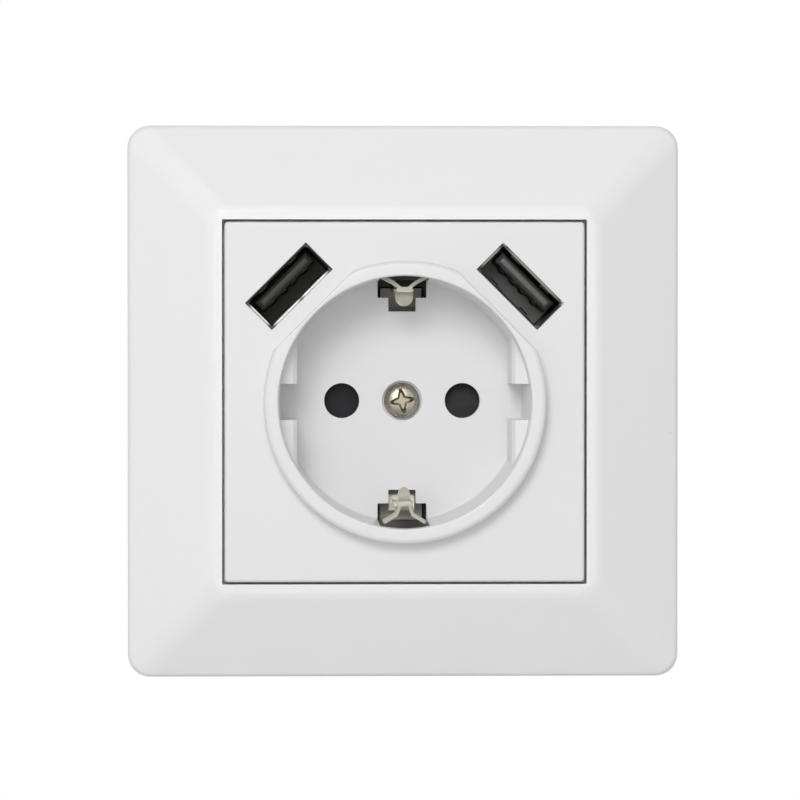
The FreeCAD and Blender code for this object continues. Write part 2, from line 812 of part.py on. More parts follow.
def make_rear_housing():
    body = plate(eight_sided(housing_half, housing_corner), 0, housing_depth)
    body = body.cut(plate(eight_sided(inner_half, inner_corner), -1, housing_floor))
    for side in (-1, 1):
        cut_out = block(-cut_out_width / 2, cut_out_width / 2, -1, port_board_back, ear_low - 2,
                        housing_half * 1.4)
        body = body.cut(turned(cut_out, side * port_angle))
        for z in (-ring_screw_z, ring_screw_z):
            boss = block(ring_screw_x - screw_boss_reach, housing_half - housing_wall / 2, 0,
                         screw_boss_depth, z - screw_boss_half, z + screw_boss_half)
            body = body.fuse(boss if side > 0 else flipped(boss))
            hole = rod(ring_screw_r + thread_gap, -1, ring_screw_length, side * ring_screw_x, z)
            body = body.cut(hole)
        window = block(inner_half - 1, housing_half + 1, snap_front - snap_gap,
                       snap_front + snap_thick + snap_gap, -snap_width / 2 - snap_gap,
                       snap_width / 2 + snap_gap)
        body = body.cut(window if side > 0 else flipped(window))
        for x, z in post_places:
            body = body.fuse(rod(post_r, charger_back, housing_floor + 0.5, side * x, z))
    for place in terminal_places():
        entry = rod(wire_entry_r + wire_entry_wall, base_back, housing_floor + 0.5, place, terminal_z)
        body = body.fuse(entry)
    for place in terminal_places():
        body = body.cut(rod(wire_entry_r, base_back - 1, housing_depth + 1, place, terminal_z))
        driver_hole = upright_rod(clamp_hole_r, -housing_half - 1, -inner_half + 1, place, clamp_y)
        body = body.cut(driver_hole)
    return body.removeSplitter()


def make_usb_shell():
    front = plate_y + shell_set_back
    half_long = shell_long / 2
    low = port_distance - shell_short / 2
    high = port_distance + shell_short / 2
    body = block(-half_long, half_long, front, port_board_y, low, high)
    body = body.cut(block(shell_sheet - half_long, half_long - shell_sheet, front - 1, port_board_y + 1,
                          low + shell_sheet, high - shell_sheet))
    body = body.cut(block(-shell_seam / 2, shell_seam / 2, front - 1, port_board_y + 1, low - 1,
                          low + shell_sheet + 0.1))

    # Sprung fingers are punched out of both wide walls.
    start = front + finger_start
    end = start + finger_length
    for place in (-finger_place, finger_place):
        window = block(place - finger_width / 2 - finger_slit, place + finger_width / 2 + finger_slit,
                       start - finger_slit, end, low - 1, high + 1)
        body = body.cut(window)
        for face, inward in ((low, 1), (high, -1)):
            path = [(end + 0.3, face), (start + finger_length / 3, face + inward * finger_bend),
                    (start, face + inward * finger_bend / 3)]
            back = [(y, z + inward * shell_sheet) for y, z in path[::-1]]
            finger = side_plate(path + back, place - finger_width / 2, place + finger_width / 2)
            body = body.fuse(finger)
    leg_back = port_board_back + pin_stick_out
    for side in (-1, 1):
        x0 = min(side * half_long, side * (half_long - shell_sheet))
        leg = block(x0, x0 + shell_sheet, port_board_y - 1, leg_back, port_distance - shell_leg_width / 2,
                    port_distance + shell_leg_width / 2)
        body = body.fuse(leg)
    return body.removeSplitter()


def tongue_low():
    return port_distance + tongue_offset - tongue_thick / 2


def make_usb_tongue():
    front = plate_y + shell_set_back + tongue_set_back
    root = port_board_y - insulator_depth
    half_long = shell_long / 2 - shell_sheet - insulator_gap
    half_short = shell_short / 2 - shell_sheet - insulator_gap
    root_block = block(-half_long, half_long, root, port_board_y, port_distance - half_short,
                       port_distance + half_short)
    low = tongue_low()
    high = low + tongue_thick
    profile = [(front, low + tongue_lead), (front + tongue_lead, low), (root + 1, low), (root + 1, high),
               (front + tongue_lead, high), (front, high - tongue_lead)]
    tongue = side_plate(profile, -tongue_width / 2, tongue_width / 2)
    half = tongue_width / 2
    lead = tongue_side_lead
    plan = [(front, lead - half), (front + lead, -half), (root + 1, -half), (root + 1, half),
            (front + lead, half), (front, half - lead)]
    corners = [point(x, y, low - 1) for y, x in plan]
    plan_bar = Part.Face(Part.makePolygon(corners + corners[:1])).extrude(point(0, 0, tongue_thick + 2))
    body = root_block.fuse(tongue.common(plan_bar))
    for place in contact_places:
        body = body.cut(contact_strip(place, root - 1, port_board_y + 1, insulator_gap))
    return body.removeSplitter()


def contact_strip(place, y0, y1, gap=0.0):
    low = tongue_low()
    return block(place - contact_width / 2 - gap, place + contact_width / 2 + gap, y0, y1,
                 low - contact_sheet - gap, low)


def make_usb_contacts():
    front = plate_y + shell_set_back + tongue_set_back + contact_set_back
    end = port_board_back + pin_stick_out
    return Part.makeCompound([contact_strip(place, front, end) for place in contact_places])


def link_pin_places():
    first = -link_pin_pitch * (link_pin_count - 1) / 2
    return [first + i * link_pin_pitch for i in range(link_pin_count)]


def make_usb_board():
    """A narrow arc over the well, with an ear behind each port."""
    arc = rod(port_board_r1, port_board_y, port_board_back).cut(rod(port_board_r0, port_board_y - 1,
                                                                    port_board_back + 1))
    reach = housing_half * 1.5
    width = reach * math.tan(math.radians(port_board_angle))
    wedge = plate([(0, 0), (-width, reach), (width, reach)], port_board_y, port_board_back)
    body = arc.common(wedge)
    for side in (-1, 1):
        ear = block(-ear_width / 2, ear_width / 2, port_board_y, port_board_back, ear_low, ear_high)
        body = body.fuse(turned(ear, side * port_angle))
    for side in (-1, 1):
        holes = [contact_strip(place, port_board_y - 1, port_board_back + 1, solder_gap)
                 for place in contact_places]
        for end in (-1, 1):
            edge = end * (shell_long / 2 - shell_sheet / 2)
            width = shell_sheet / 2 + solder_gap
            height = shell_leg_width / 2 + solder_gap
            holes.append(block(edge - width, edge + width, port_board_y - 1, port_board_back + 1,
                               port_distance - height, port_distance + height))
        body = body.cut([turned(hole, side * port_angle) for hole in holes])
    for x in link_pin_places():
        body = body.cut(rod(link_pin_r + solder_gap, port_board_y - 1, port_board_back + 1, x, link_pin_z))
    return body.removeSplitter()


def make_board_link_pins():
    pins = [rod(link_pin_r, port_board_y - pin_stick_out, charger_back + pin_stick_out, x, link_pin_z)
            for x in link_pin_places()]
    return Part.makeCompound(pins)


def make_mains_link_pins():
    pins = [rod(mains_pin_r, base_back, charger_back + pin_stick_out, side * pin_x, mains_pin_z)
            for side in (-1, 1)]
    return Part.makeCompound(pins)


def make_charger_board():
    corner = charger_corner * root_two
    outline = [
        (-charger_half_width, charger_low), (charger_half_width, charger_low),
        (charger_half_width, corner - charger_half_width), (corner - charger_high, charger_high),
        (charger_high - corner, charger_high), (-charger_half_width, corner - charger_half_width),
    ]
    body = plate(outline, charger_y, charger_back)
    for x in link_pin_places():
        body = body.cut(rod(link_pin_r + solder_gap, charger_y - 1, charger_back + 1, x, link_pin_z))
    for side in (-1, 1):
        body = body.cut(rod(mains_pin_r + solder_gap, charger_y - 1, charger_back + 1, side * pin_x,
                            mains_pin_z))
    return body


def on_board(size, place):
    """A box that stands on the back of the charger board."""
    width, height, length = size
    x, z = place
    return block(x - width / 2, x + width / 2, charger_back, charger_back + height, z - length / 2,
                 z + length / 2)


def winding_window():
    width, height, length = core_size
    return (width - 2 * core_wall, height + 2, length - 2 * core_wall)


def make_transformer_core():
    width, height, length = core_size
    x, z = core_place
    opening = winding_window()
    body = on_board(core_size, core_place)
    body = body.cut(block(x - opening[0] / 2, x + opening[0] / 2, charger_back - 1, charger_back + height + 1,
                          z - opening[2] / 2, z + opening[2] / 2))
    return body.fuse(block(x - core_wall / 2, x + core_wall / 2, charger_back, charger_back + height,
                           z - length / 2, z + length / 2)).removeSplitter()


def make_transformer_winding():
    width, height, length = core_size
    x, z = core_place
    opening = winding_window()
    gap = winding_gap
    body = on_board((opening[0] - 2 * gap, height, opening[2] - 2 * gap), core_place)
    core_hole = block(x - core_wall / 2 - gap, x + core_wall / 2 + gap, charger_back - 1,
                      charger_back + height + 1, z - length / 2, z + length / 2)
    left = body.cut(core_hole)
    return Part.makeCompound(left.Solids)


def make_capacitor(r, length, place):
    can = rod(r, charger_back, charger_back + length, place[0], place[1])
    return round_edges(can, capacitor_round, lambda e: lies_at(e, charger_back + length))


def make_controller_chip():
    width, height, length = chip_size
    x, z = chip_place
    body = block(x - width / 2, x + width / 2, charger_back, charger_back + height, z - length / 2,
                 z + length / 2)
    legs = []
    for side in (-1, 1):
        for i in range(chip_leg_count):
            leg_x = x + (i - (chip_leg_count - 1) / 2) * chip_leg_pitch
            edge = z + side * (length / 2 + chip_leg / 2)
            legs.append(block(leg_x - chip_leg_width / 2, leg_x + chip_leg_width / 2, charger_back,
                              charger_back + height / 2, edge - chip_leg / 2, edge + chip_leg / 2))
    return join([body] + legs)


os.makedirs("parts", exist_ok=True)
nodes = {
    "frame": make_frame(),
    "socket_cover": make_cover(),
    "cover_screw": make_cover_screw(),
    "support_ring": make_support_ring(),
    "ring_screws": make_ring_screws(),
    "contact_base": make_contact_base(),
    "shutter": make_shutter(),
    "shutter_spring": make_shutter_spring(),
    "earth_strap": make_earth_strap(),
    "rear_housing": make_rear_housing(),
    "usb_board": make_usb_board(),
    "board_link_pins": make_board_link_pins(),
    "mains_link_pins": make_mains_link_pins(),
    "charger_board": make_charger_board(),
    "transformer_core": make_transformer_core(),
    "transformer_winding": make_transformer_winding(),
    "input_capacitor": make_capacitor(input_cap_r, input_cap_length, input_cap_place),
    "output_capacitor": make_capacitor(output_cap_r, output_cap_length, output_cap_place),
    "rectifier": on_board(rectifier_size, rectifier_place),
    "controller_chip": make_controller_chip(),
}
for name, side in (("left", -1), ("right", 1)):
    nodes["usb_shell_" + name] = turned(make_usb_shell(), side * port_angle)
    nodes["usb_tongue_" + name] = turned(make_usb_tongue(), side * port_angle)
    nodes["usb_contacts_" + name] = turned(make_usb_contacts(), side * port_angle)
for name, side in (("live", -1), ("earth", 0), ("neutral", 1)):
    nodes[name + "_terminal"] = make_terminal(side * terminal_pitch)
    nodes[name + "_terminal_screw"] = make_terminal_screw(side * terminal_pitch)
    if side:
        nodes[name + "_contact"] = make_contact(side)
for name, shape in nodes.items():
    shape.exportStep("parts/" + name + ".step")
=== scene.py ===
import math

import bmesh
import bpy
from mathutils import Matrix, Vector
from mathutils.bvhtree import BVHTree


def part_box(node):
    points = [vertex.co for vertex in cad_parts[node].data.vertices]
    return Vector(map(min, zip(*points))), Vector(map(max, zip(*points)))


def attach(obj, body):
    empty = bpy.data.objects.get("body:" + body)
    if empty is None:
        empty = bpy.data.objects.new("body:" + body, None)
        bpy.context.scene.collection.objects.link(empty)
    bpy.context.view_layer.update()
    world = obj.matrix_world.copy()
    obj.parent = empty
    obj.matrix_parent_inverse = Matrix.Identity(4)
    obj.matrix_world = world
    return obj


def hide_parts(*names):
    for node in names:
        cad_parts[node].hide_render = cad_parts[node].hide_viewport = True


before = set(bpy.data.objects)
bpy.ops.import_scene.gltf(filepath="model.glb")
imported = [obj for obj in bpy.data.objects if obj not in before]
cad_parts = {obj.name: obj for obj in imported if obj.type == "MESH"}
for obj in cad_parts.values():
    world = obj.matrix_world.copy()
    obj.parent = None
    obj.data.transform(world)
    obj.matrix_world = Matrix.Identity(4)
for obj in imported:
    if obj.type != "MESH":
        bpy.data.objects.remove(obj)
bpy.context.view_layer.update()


# Surround frame: one glossy white moulding whose four sides slope back from a thin raised rim.
# It is injection moulded in hard opaque plastic, and the cover presses it against the wall.
mm = 0.001
frame_ease = 0.05 * mm
moulding_white = (0.88, 0.88, 0.88, 1.0)
moulding_roughness = 0.36
# The specks' colour: dirt on the frame's slope, and painted shadow in the pit at the end of a guide rib.
speck_colour = (0.16, 0.13, 0.10, 1.0)
slope_speck = ((41.7, -2.7, -5.0), 0.16, 0.40)


def add_node(tree, kind, feeds=None, **options):
    """Adds a node with its options set, and its inputs linked or filled."""
    node = tree.nodes.new(kind)
    for option, value in options.items():
        setattr(node, option, value)
    for socket, value in (feeds or {}).items():
        if isinstance(value, bpy.types.NodeSocket):
            tree.links.new(value, node.inputs[socket])
        else:
            node.inputs[socket].default_value = value
    return node


def sum_of(tree, kind, a, b=0.0, c=0.0):
    """The result of one arithmetic node."""
    return add_node(tree, "ShaderNodeMath", {0: a, 1: b, 2: c}, operation=kind).outputs[0]


def new_group(kind, name, takes, gives):
    """A node group with named sockets. Each is given as its name, its type and, for an input, its value."""
    group = bpy.data.node_groups.new(name, kind)
    for label, socket_type, value in takes:
        socket = group.interface.new_socket(name=label, in_out="INPUT", socket_type=socket_type)
        if value is not None:
            socket.default_value = value
    for label, socket_type in gives:
        group.interface.new_socket(name=label, in_out="OUTPUT", socket_type=socket_type)
    return group, group.nodes.new("NodeGroupInput"), group.nodes.new("NodeGroupOutput")


# Skin of a moulding: faint clouds in the colour, a slow ripple where the plastic shrank, fine grain.
skin, given, result = new_group(
    "ShaderNodeTree", "moulded_skin",
    [("Colour", "NodeSocketColor", moulding_white), ("Clouding", "NodeSocketFloat", 0.015),
     ("Roughness", "NodeSocketFloat", 0.3), ("Ripple Size", "NodeSocketFloat", 4 * mm),
     ("Grain Size", "NodeSocketFloat", 0.15 * mm), ("Grain", "NodeSocketFloat", 0.15)],
    [("Colour", "NodeSocketColor"), ("Roughness", "NodeSocketFloat"), ("Height", "NodeSocketFloat")])
cloud_scale = 60.0
uneven_gloss = 0.10
spot = add_node(skin, "ShaderNodeTexCoord").outputs["Object"]
clouds = add_node(skin, "ShaderNodeTexNoise", {
    "Vector": spot, "Scale": cloud_scale, "Detail": 8.0, "Roughness": 0.75}).outputs[0]
clouds = sum_of(skin, "SUBTRACT", clouds, 0.5)
ripple_scale = sum_of(skin, "DIVIDE", 1.0, given.outputs["Ripple Size"])
ripple = add_node(skin, "ShaderNodeTexNoise", {
    "Vector": spot, "Scale": ripple_scale, "Detail": 1.0}).outputs[0]
grain_scale = sum_of(skin, "DIVIDE", 1.0, given.outputs["Grain Size"])
grain = add_node(skin, "ShaderNodeTexNoise", {
    "Vector": spot, "Scale": grain_scale, "Detail": 2.0}).outputs[0]
shade = sum_of(skin, "MULTIPLY_ADD", clouds, given.outputs["Clouding"], 1.0)
tinted = add_node(skin, "ShaderNodeHueSaturation", {"Value": shade, "Color": given.outputs["Colour"]})
skin.links.new(tinted.outputs[0], result.inputs["Colour"])
gloss = sum_of(skin, "MULTIPLY_ADD", clouds, uneven_gloss, given.outputs["Roughness"])
skin.links.new(gloss, result.inputs["Roughness"])
skin.links.new(sum_of(skin, "MULTIPLY_ADD", grain, given.outputs["Grain"], ripple), result.inputs["Height"])

# Speck: a small dark spot with a ragged edge, at a place on the moulding. It serves both for specks of dirt
# and for painted shadow in a small pit.
speck, given, result = new_group(
    "ShaderNodeTree", "speck",
    [("Place", "NodeSocketVector", (0.0, 0.0, 0.0)), ("Radius", "NodeSocketFloat", 0.2 * mm),
     ("Strength", "NodeSocketFloat", 1.0)],
    [("Mask", "NodeSocketFloat")])
ragged_scale = 9000.0
ragged_share = 0.6
spot = add_node(speck, "ShaderNodeTexCoord").outputs["Object"]
ragged = add_node(speck, "ShaderNodeTexNoise", {"Vector": spot, "Scale": ragged_scale}).outputs[0]
away = add_node(speck, "ShaderNodeVectorMath", {0: spot, 1: given.outputs["Place"]}, operation="DISTANCE")
share = sum_of(speck, "DIVIDE", away.outputs["Value"], given.outputs["Radius"])
share = sum_of(speck, "MULTIPLY_ADD", ragged, ragged_share, share)
inside = add_node(speck, "ShaderNodeMapRange", {
    "Value": share, "From Min": 0.7, "From Max": 1.3, "To Min": 1.0, "To Max": 0.0},
    interpolation_type="SMOOTHSTEP").outputs[0]
speck.links.new(sum_of(speck, "MULTIPLY", inside, given.outputs["Strength"]), result.inputs["Mask"])


def new_material(name, **constants):
    """A material with one principled shader; the constants are set on its own sockets."""
    material = bpy.data.materials.new(name)
    material.use_nodes = True
    shader = material.node_tree.nodes["Principled BSDF"]
    for label, value in constants.items():
        shader.inputs[label.replace("_", " ")].default_value = value
    return material, material.node_tree, shader


def moulded_plastic(name, colour, roughness, clouding=0.015, ripple=4 * mm, grain=0.15, depth=0.004 * mm,
                    spots=(), shine=0.5):
    """A moulded plastic: the skin group drives colour, roughness and a very shallow bump."""
    material, tree, shader = new_material(name, IOR=1.5, Specular_IOR_Level=shine)
    surface = add_node(tree, "ShaderNodeGroup", {
        "Colour": colour, "Clouding": clouding, "Roughness": roughness, "Ripple Size": ripple,
        "Grain": grain}, node_tree=skin)
    tint = surface.outputs["Colour"]
    for place, radius, strength in spots:
        mark = add_node(tree, "ShaderNodeGroup", {
            "Place": [value * mm for value in place], "Radius": radius * mm, "Strength": strength},
            node_tree=speck)
        tint = add_node(tree, "ShaderNodeMix", {0: mark.outputs["Mask"], 6: tint, 7: speck_colour},
                        data_type="RGBA").outputs[2]
    tree.links.new(tint, shader.inputs["Base Color"])
    tree.links.new(surface.outputs["Roughness"], shader.inputs["Roughness"])
    bump = add_node(tree, "ShaderNodeBump", {"Height": surface.outputs["Height"], "Distance": depth})
    tree.links.new(bump.outputs[0], shader.inputs["Normal"])
    return material


def settle(piece):
    """Turns the piece's modifiers into plain mesh."""
    evaluated = piece.evaluated_get(bpy.context.evaluated_depsgraph_get())
    made = bpy.data.meshes.new_from_object(evaluated)
    piece.modifiers.clear()
    piece.data = made
    made.name = piece.name
    return piece


def finish_mesh(piece, material, sharp=30.0):
    """One material, and smooth shading between sharp edges that leaves the flat faces flat."""
    piece.data.materials.clear()
    piece.data.materials.append(material)
    piece.data.shade_smooth()
    piece.data.set_sharp_from_angle(angle=math.radians(sharp))
    weighted = piece.modifiers.new("flat faces stay flat", "WEIGHTED_NORMAL")
    weighted.keep_sharp = True
    weighted.weight = 100
    settle(piece)


def new_piece(name, mesh):
    """An object with this mesh, in the scene at the origin."""
    piece = bpy.data.objects.new(name, mesh)
    bpy.context.scene.collection.objects.link(piece)
    return piece


same_point = 0.0005 * mm
flat_angle = math.radians(0.5)


def joined_copy(node):
    """A copy of a CAD node's mesh, and its loose triangles joined up for editing."""
    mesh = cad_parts[node].data.copy()
    if "custom_normal" in mesh.attributes:
        mesh.attributes.remove(mesh.attributes["custom_normal"])
    shape = bmesh.new()
    shape.from_mesh(mesh)
    bmesh.ops.remove_doubles(shape, verts=shape.verts, dist=same_point)
    return mesh, shape


def eased_copy(node, name, ease, material, sharp=30.0, segments=2):
    """A joined-up copy of a CAD node whose flat faces are whole again and whose sharp edges are eased."""
    mesh, shape = joined_copy(node)
    solid = BVHTree.FromBMesh(shape)
    bmesh.ops.dissolve_limit(shape, angle_limit=flat_angle, verts=shape.verts, edges=shape.edges)
    shape.to_mesh(mesh)
    shape.free()
    piece = new_piece(name, mesh)
    bevel = piece.modifiers.new("ease", "BEVEL")
    bevel.width = ease
    bevel.segments = segments
    bevel.limit_method = "ANGLE"
    bevel.angle_limit = math.radians(sharp)
    bevel.use_clamp_overlap = False
    bevel.miter_outer = "MITER_ARC"
    settle(piece)
    for vertex in piece.data.vertices:
        nearest, _, _, away = solid.find_nearest(vertex.co)
        if away > ease:
            vertex.co = nearest
    finish_mesh(piece, material, sharp)
    return piece


def plain_copy(node, name, material, sharp=30.0):
    """A joined-up copy of a CAD node that keeps its sharp edges."""
    mesh, shape = joined_copy(node)
    shape.to_mesh(mesh)
    shape.free()
    piece = new_piece(name, mesh)
    finish_mesh(piece, material, sharp)
    return piece


frame_white = moulded_plastic("frame_white", moulding_white, moulding_roughness, spots=[slope_speck])
frame_moulding = eased_copy("frame", "frame_moulding", frame_ease, frame_white)

# The opening's corners are sharper than the solid's rounding.
opening_half = 28.2
moulded_corner = 0.8
sharp_corner = 0.15
corner_band = 0.12
for point in frame_moulding.data.vertices:
    across = abs(point.co.x) / mm - opening_half + moulded_corner
    above = abs(point.co.z) / mm - opening_half + moulded_corner
    from_corner = math.hypot(across, above)
    if across > 0 and above > 0 and abs(from_corner - moulded_corner) < corner_band:
        reach = (sharp_corner + from_corner - moulded_corner) / from_corner
        point.co.x = math.copysign((opening_half - sharp_corner + across * reach) * mm, point.co.x)
        point.co.z = math.copysign((opening_half - sharp_corner + above * reach) * mm, point.co.z)

# The rim runs into the slopes in one soft curve, so the strip round the rim's edge is cut finer and bent.
rim_half = 29.75
rim_corner = 3.4
blend = 1.15
blend_cuts = 12
side_slope = 0.55
hip_slope = 0.39
front_faces = -8.5
front_points = -7.5
shape = bmesh.new()
shape.from_mesh(frame_moulding.data)
for step in range(blend_cuts):
    cut = (rim_half - blend + 2 * blend * step / (blend_cuts - 1)) * mm
    for across in (Vector((1, 0, 0)), Vector((-1, 0, 0)), Vector((0, 0, 1)), Vector((0, 0, -1))):
        faces = [face for face in shape.faces
                 if min(point.co.y for point in face.verts) < front_faces * mm]
        edges = dict.fromkeys(edge for face in faces for edge in face.edges)
        points = dict.fromkeys(point for face in faces for point in face.verts)
        bmesh.ops.bisect_plane(shape, geom=faces + list(edges) + list(points), dist=same_point,
                               plane_co=across * cut, plane_no=across)
for point in shape.verts:
    past_x = abs(point.co.x) / mm - rim_half + rim_corner
    past_z = abs(point.co.z) / mm - rim_half + rim_corner
    outside = math.hypot(max(past_x, 0.0), max(past_z, 0.0)) + min(max(past_x, past_z), 0.0) - rim_corner
    if point.co.y < front_points * mm and abs(outside) < blend:
        slope = side_slope
        if past_x > 0 and past_z > 0:
            slope += (hip_slope - side_slope) * math.sin(2 * math.atan2(past_z, past_x))
        drop = slope * (outside + blend) ** 2 / (4 * blend) - slope * max(outside, 0.0)
        point.co.y += drop * mm
shape.to_mesh(frame_moulding.data)
shape.free()
finish_mesh(frame_moulding, frame_white)
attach(frame_moulding, "socket")
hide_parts("frame")


# Socket cover: the square plate, the raised ring with its two flats and the round well are one moulding.
# It is a slightly darker white than the frame, and the central screw holds it to the base.
cover_white = (0.81, 0.803, 0.81, 1.0)
# The well spot is painted shadow in the small pit where the right guide rib ends at the well wall.
well_pit_shadow = ((16.47, 3.2, 9.81), 0.20, 0.85)
mouth_speck = ((18.72, -12.3, 5.38), 0.16, 0.45)
cover_plastic = moulded_plastic("cover_plastic", cover_white, 0.30, spots=[well_pit_shadow, mouth_speck])
mouth_radius = 19.5
flat_distance = 20.0
ring_front = -13.0
crest_reach = math.radians(12.0)
crest_steps = 32
crest_round = 10
crest_overlap = 0.01
crest_foot = 1.2
crest_side = 0.33
crest_rise = 0.34
crest_fullness = 0.8
crest_sink = 0.08


def add_crest(shape, bearing):
    """The rounded crest where the ring is thinnest: a closed bead between the mouth and the ring's flat."""
    rows = []
    for step in range(crest_steps + 1):
        turn = crest_reach * (2.0 * step / crest_steps - 1.0)
        inner = mouth_radius - crest_overlap
        outer = flat_distance / math.cos(turn) + crest_overlap
        sink = crest_sink * (turn / crest_reach) ** 4
        row = [(inner, ring_front + crest_foot)]
        for k in range(crest_round + 1):
            share = math.pi * k / crest_round
            row.append(((inner + outer) / 2 - (outer - inner) / 2 * math.cos(share),
                        ring_front + crest_side + sink - crest_rise * math.sin(share) ** crest_fullness))
        row.append((outer, ring_front + crest_foot))
        rows.append([shape.verts.new((mm * radius * math.sin(bearing + turn), mm * deep,
                                      mm * radius * math.cos(bearing + turn))) for radius, deep in row])
    count = len(rows[0])
    made = []
    for one, two in zip(rows, rows[1:]):
        for k in range(count):
            made.append(shape.faces.new((one[k], one[(k + 1) % count], two[(k + 1) % count], two[k])))
    made += [shape.faces.new(rows[0][::-1]), shape.faces.new(rows[-1])]
    bmesh.ops.recalc_face_normals(shape, faces=made)


mesh, shape = joined_copy("socket_cover")
for bearing in (-45.0, 45.0):
    add_crest(shape, math.radians(bearing))
shape.to_mesh(mesh)
shape.free()
cover_moulding = new_piece("cover_moulding", mesh)
finish_mesh(cover_moulding, cover_plastic)
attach(cover_moulding, "socket")
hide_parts("socket_cover")


# Cover screw: a nickel-plated steel screw with a domed head and a cross recess.
# It passes through the boss in the cover and is screwed into the earth strap's collar.
nickel_colour = (0.44, 0.41, 0.33, 1.0)
nickel_stain = (0.24, 0.21, 0.17, 1.0)
metal, given, result = new_group(
    "ShaderNodeTree", "rolled_metal",
    [("Colour", "NodeSocketColor", nickel_colour), ("Stain Colour", "NodeSocketColor", nickel_stain),
     ("Stain", "NodeSocketFloat", 0.3), ("Roughness", "NodeSocketFloat", 0.3),
     ("Streaks", "NodeSocketVector", (1200.0, 300.0, 1200.0))],
    [("Colour", "NodeSocketColor"), ("Roughness", "NodeSocketFloat"), ("Height", "NodeSocketFloat")])
stain_scale = 420.0
streaky_gloss = 0.30
dull_stain = 0.25
edge_shine = 1.35
spot = add_node(metal, "ShaderNodeTexCoord").outputs["Object"]
drawn = add_node(metal, "ShaderNodeVectorMath", {0: spot, 1: given.outputs["Streaks"]}, operation="MULTIPLY")
streaks = add_node(metal, "ShaderNodeTexNoise", {
    "Vector": drawn.outputs[0], "Scale": 4.0, "Detail": 5.0, "Roughness": 0.65}).outputs[0]
stains = add_node(metal, "ShaderNodeTexNoise", {
    "Vector": spot, "Scale": stain_scale, "Detail": 6.0}).outputs[0]
patch = add_node(metal, "ShaderNodeMapRange", {"Value": stains, "From Min": 0.42, "From Max": 0.72})
patch = sum_of(metal, "MULTIPLY", patch.outputs[0], given.outputs["Stain"])
# The stored attribute darkens the metal towards its stain colour: real tarnish on the brass, painted shade on
# the port shells, on the strap's clips and in screw recesses, and low values as painted light on lit flaps.
tarnish_and_painted_shade = add_node(metal, "ShaderNodeAttribute", attribute_name="tarnish_and_painted_shade").outputs["Fac"]
patch = sum_of(metal, "MAXIMUM", patch, tarnish_and_painted_shade)
tinted = add_node(metal, "ShaderNodeMix", {
    0: patch, 6: given.outputs["Colour"], 7: given.outputs["Stain Colour"]}, data_type="RGBA").outputs[2]
crest = add_node(metal, "ShaderNodeNewGeometry").outputs["Pointiness"]
rubbed = add_node(metal, "ShaderNodeMapRange", {
    "Value": crest, "From Min": 0.50, "From Max": 0.60, "To Min": 1.0, "To Max": edge_shine}).outputs[0]
tinted = add_node(metal, "ShaderNodeHueSaturation", {"Value": rubbed, "Color": tinted}).outputs[0]
metal.links.new(tinted, result.inputs["Colour"])
gloss = sum_of(metal, "SUBTRACT", streaks, 0.5)
gloss = sum_of(metal, "MULTIPLY_ADD", gloss, streaky_gloss, given.outputs["Roughness"])
metal.links.new(sum_of(metal, "MULTIPLY_ADD", patch, dull_stain, gloss), result.inputs["Roughness"])
metal.links.new(streaks, result.inputs["Height"])


streak_depth = 0.002 * mm


def plated_metal(name, colour, stain_colour, stain, roughness, streaks=(1200.0, 300.0, 1200.0)):
    """A plated or drawn metal with streaks along the sheet, a little staining and rubbed edges."""
    material, tree, shader = new_material(name, Metallic=1.0)
    surface = add_node(tree, "ShaderNodeGroup", {
        "Colour": colour, "Stain Colour": stain_colour, "Stain": stain, "Roughness": roughness,
        "Streaks": streaks}, node_tree=metal)
    tree.links.new(surface.outputs["Colour"], shader.inputs["Base Color"])
    tree.links.new(surface.outputs["Roughness"], shader.inputs["Roughness"])
    bump = add_node(tree, "ShaderNodeBump", {"Height": surface.outputs["Height"], "Distance": streak_depth})
    tree.links.new(bump.outputs[0], shader.inputs["Normal"])
    return material


# Headed screw: a domed head with a slot or a cross sunk into it, and a threaded shank with a pointed end.
# One is set at each vertex of the piece, with its head towards Facing.
tree, given, result = new_group(
    "GeometryNodeTree", "headed_screw",
    [("Places", "NodeSocketGeometry", None), ("Head Radius", "NodeSocketFloat", 2.8 * mm),
     ("Head Height", "NodeSocketFloat", 1.9 * mm), ("Head Edge", "NodeSocketFloat", 0.25),
     ("Dome Power", "NodeSocketFloat", 0.8), ("Shank Radius", "NodeSocketFloat", 1.5 * mm),
     ("Shank Length", "NodeSocketFloat", 10 * mm), ("Thread Pitch", "NodeSocketFloat", 0.6 * mm),
     ("Thread Depth", "NodeSocketFloat", 0.25 * mm), ("Recess Width", "NodeSocketFloat", 0.9 * mm),
     ("Recess Length", "NodeSocketFloat", 3.8 * mm), ("Recess Depth", "NodeSocketFloat", 1.0 * mm),
     ("Arm Taper", "NodeSocketFloat", 0.45), ("Second Arm", "NodeSocketBool", True),
     ("Turn", "NodeSocketFloat", 0.0), ("Facing", "NodeSocketVector", (0.0, -1.0, 0.0)),
     ("Around", "NodeSocketInt", 49), ("Rows", "NodeSocketInt", 97), ("Metal", "NodeSocketMaterial", None)],
    [("Screws", "NodeSocketGeometry")])
place = add_node(tree, "GeometryNodeInputPosition").outputs[0]
across = add_node(tree, "ShaderNodeSeparateXYZ", {0: place})
share_round = sum_of(tree, "ADD", across.outputs[0], 0.5)
share_down = sum_of(tree, "ADD", across.outputs[1], 0.5)
bearing = sum_of(tree, "MULTIPLY", share_round, math.tau)


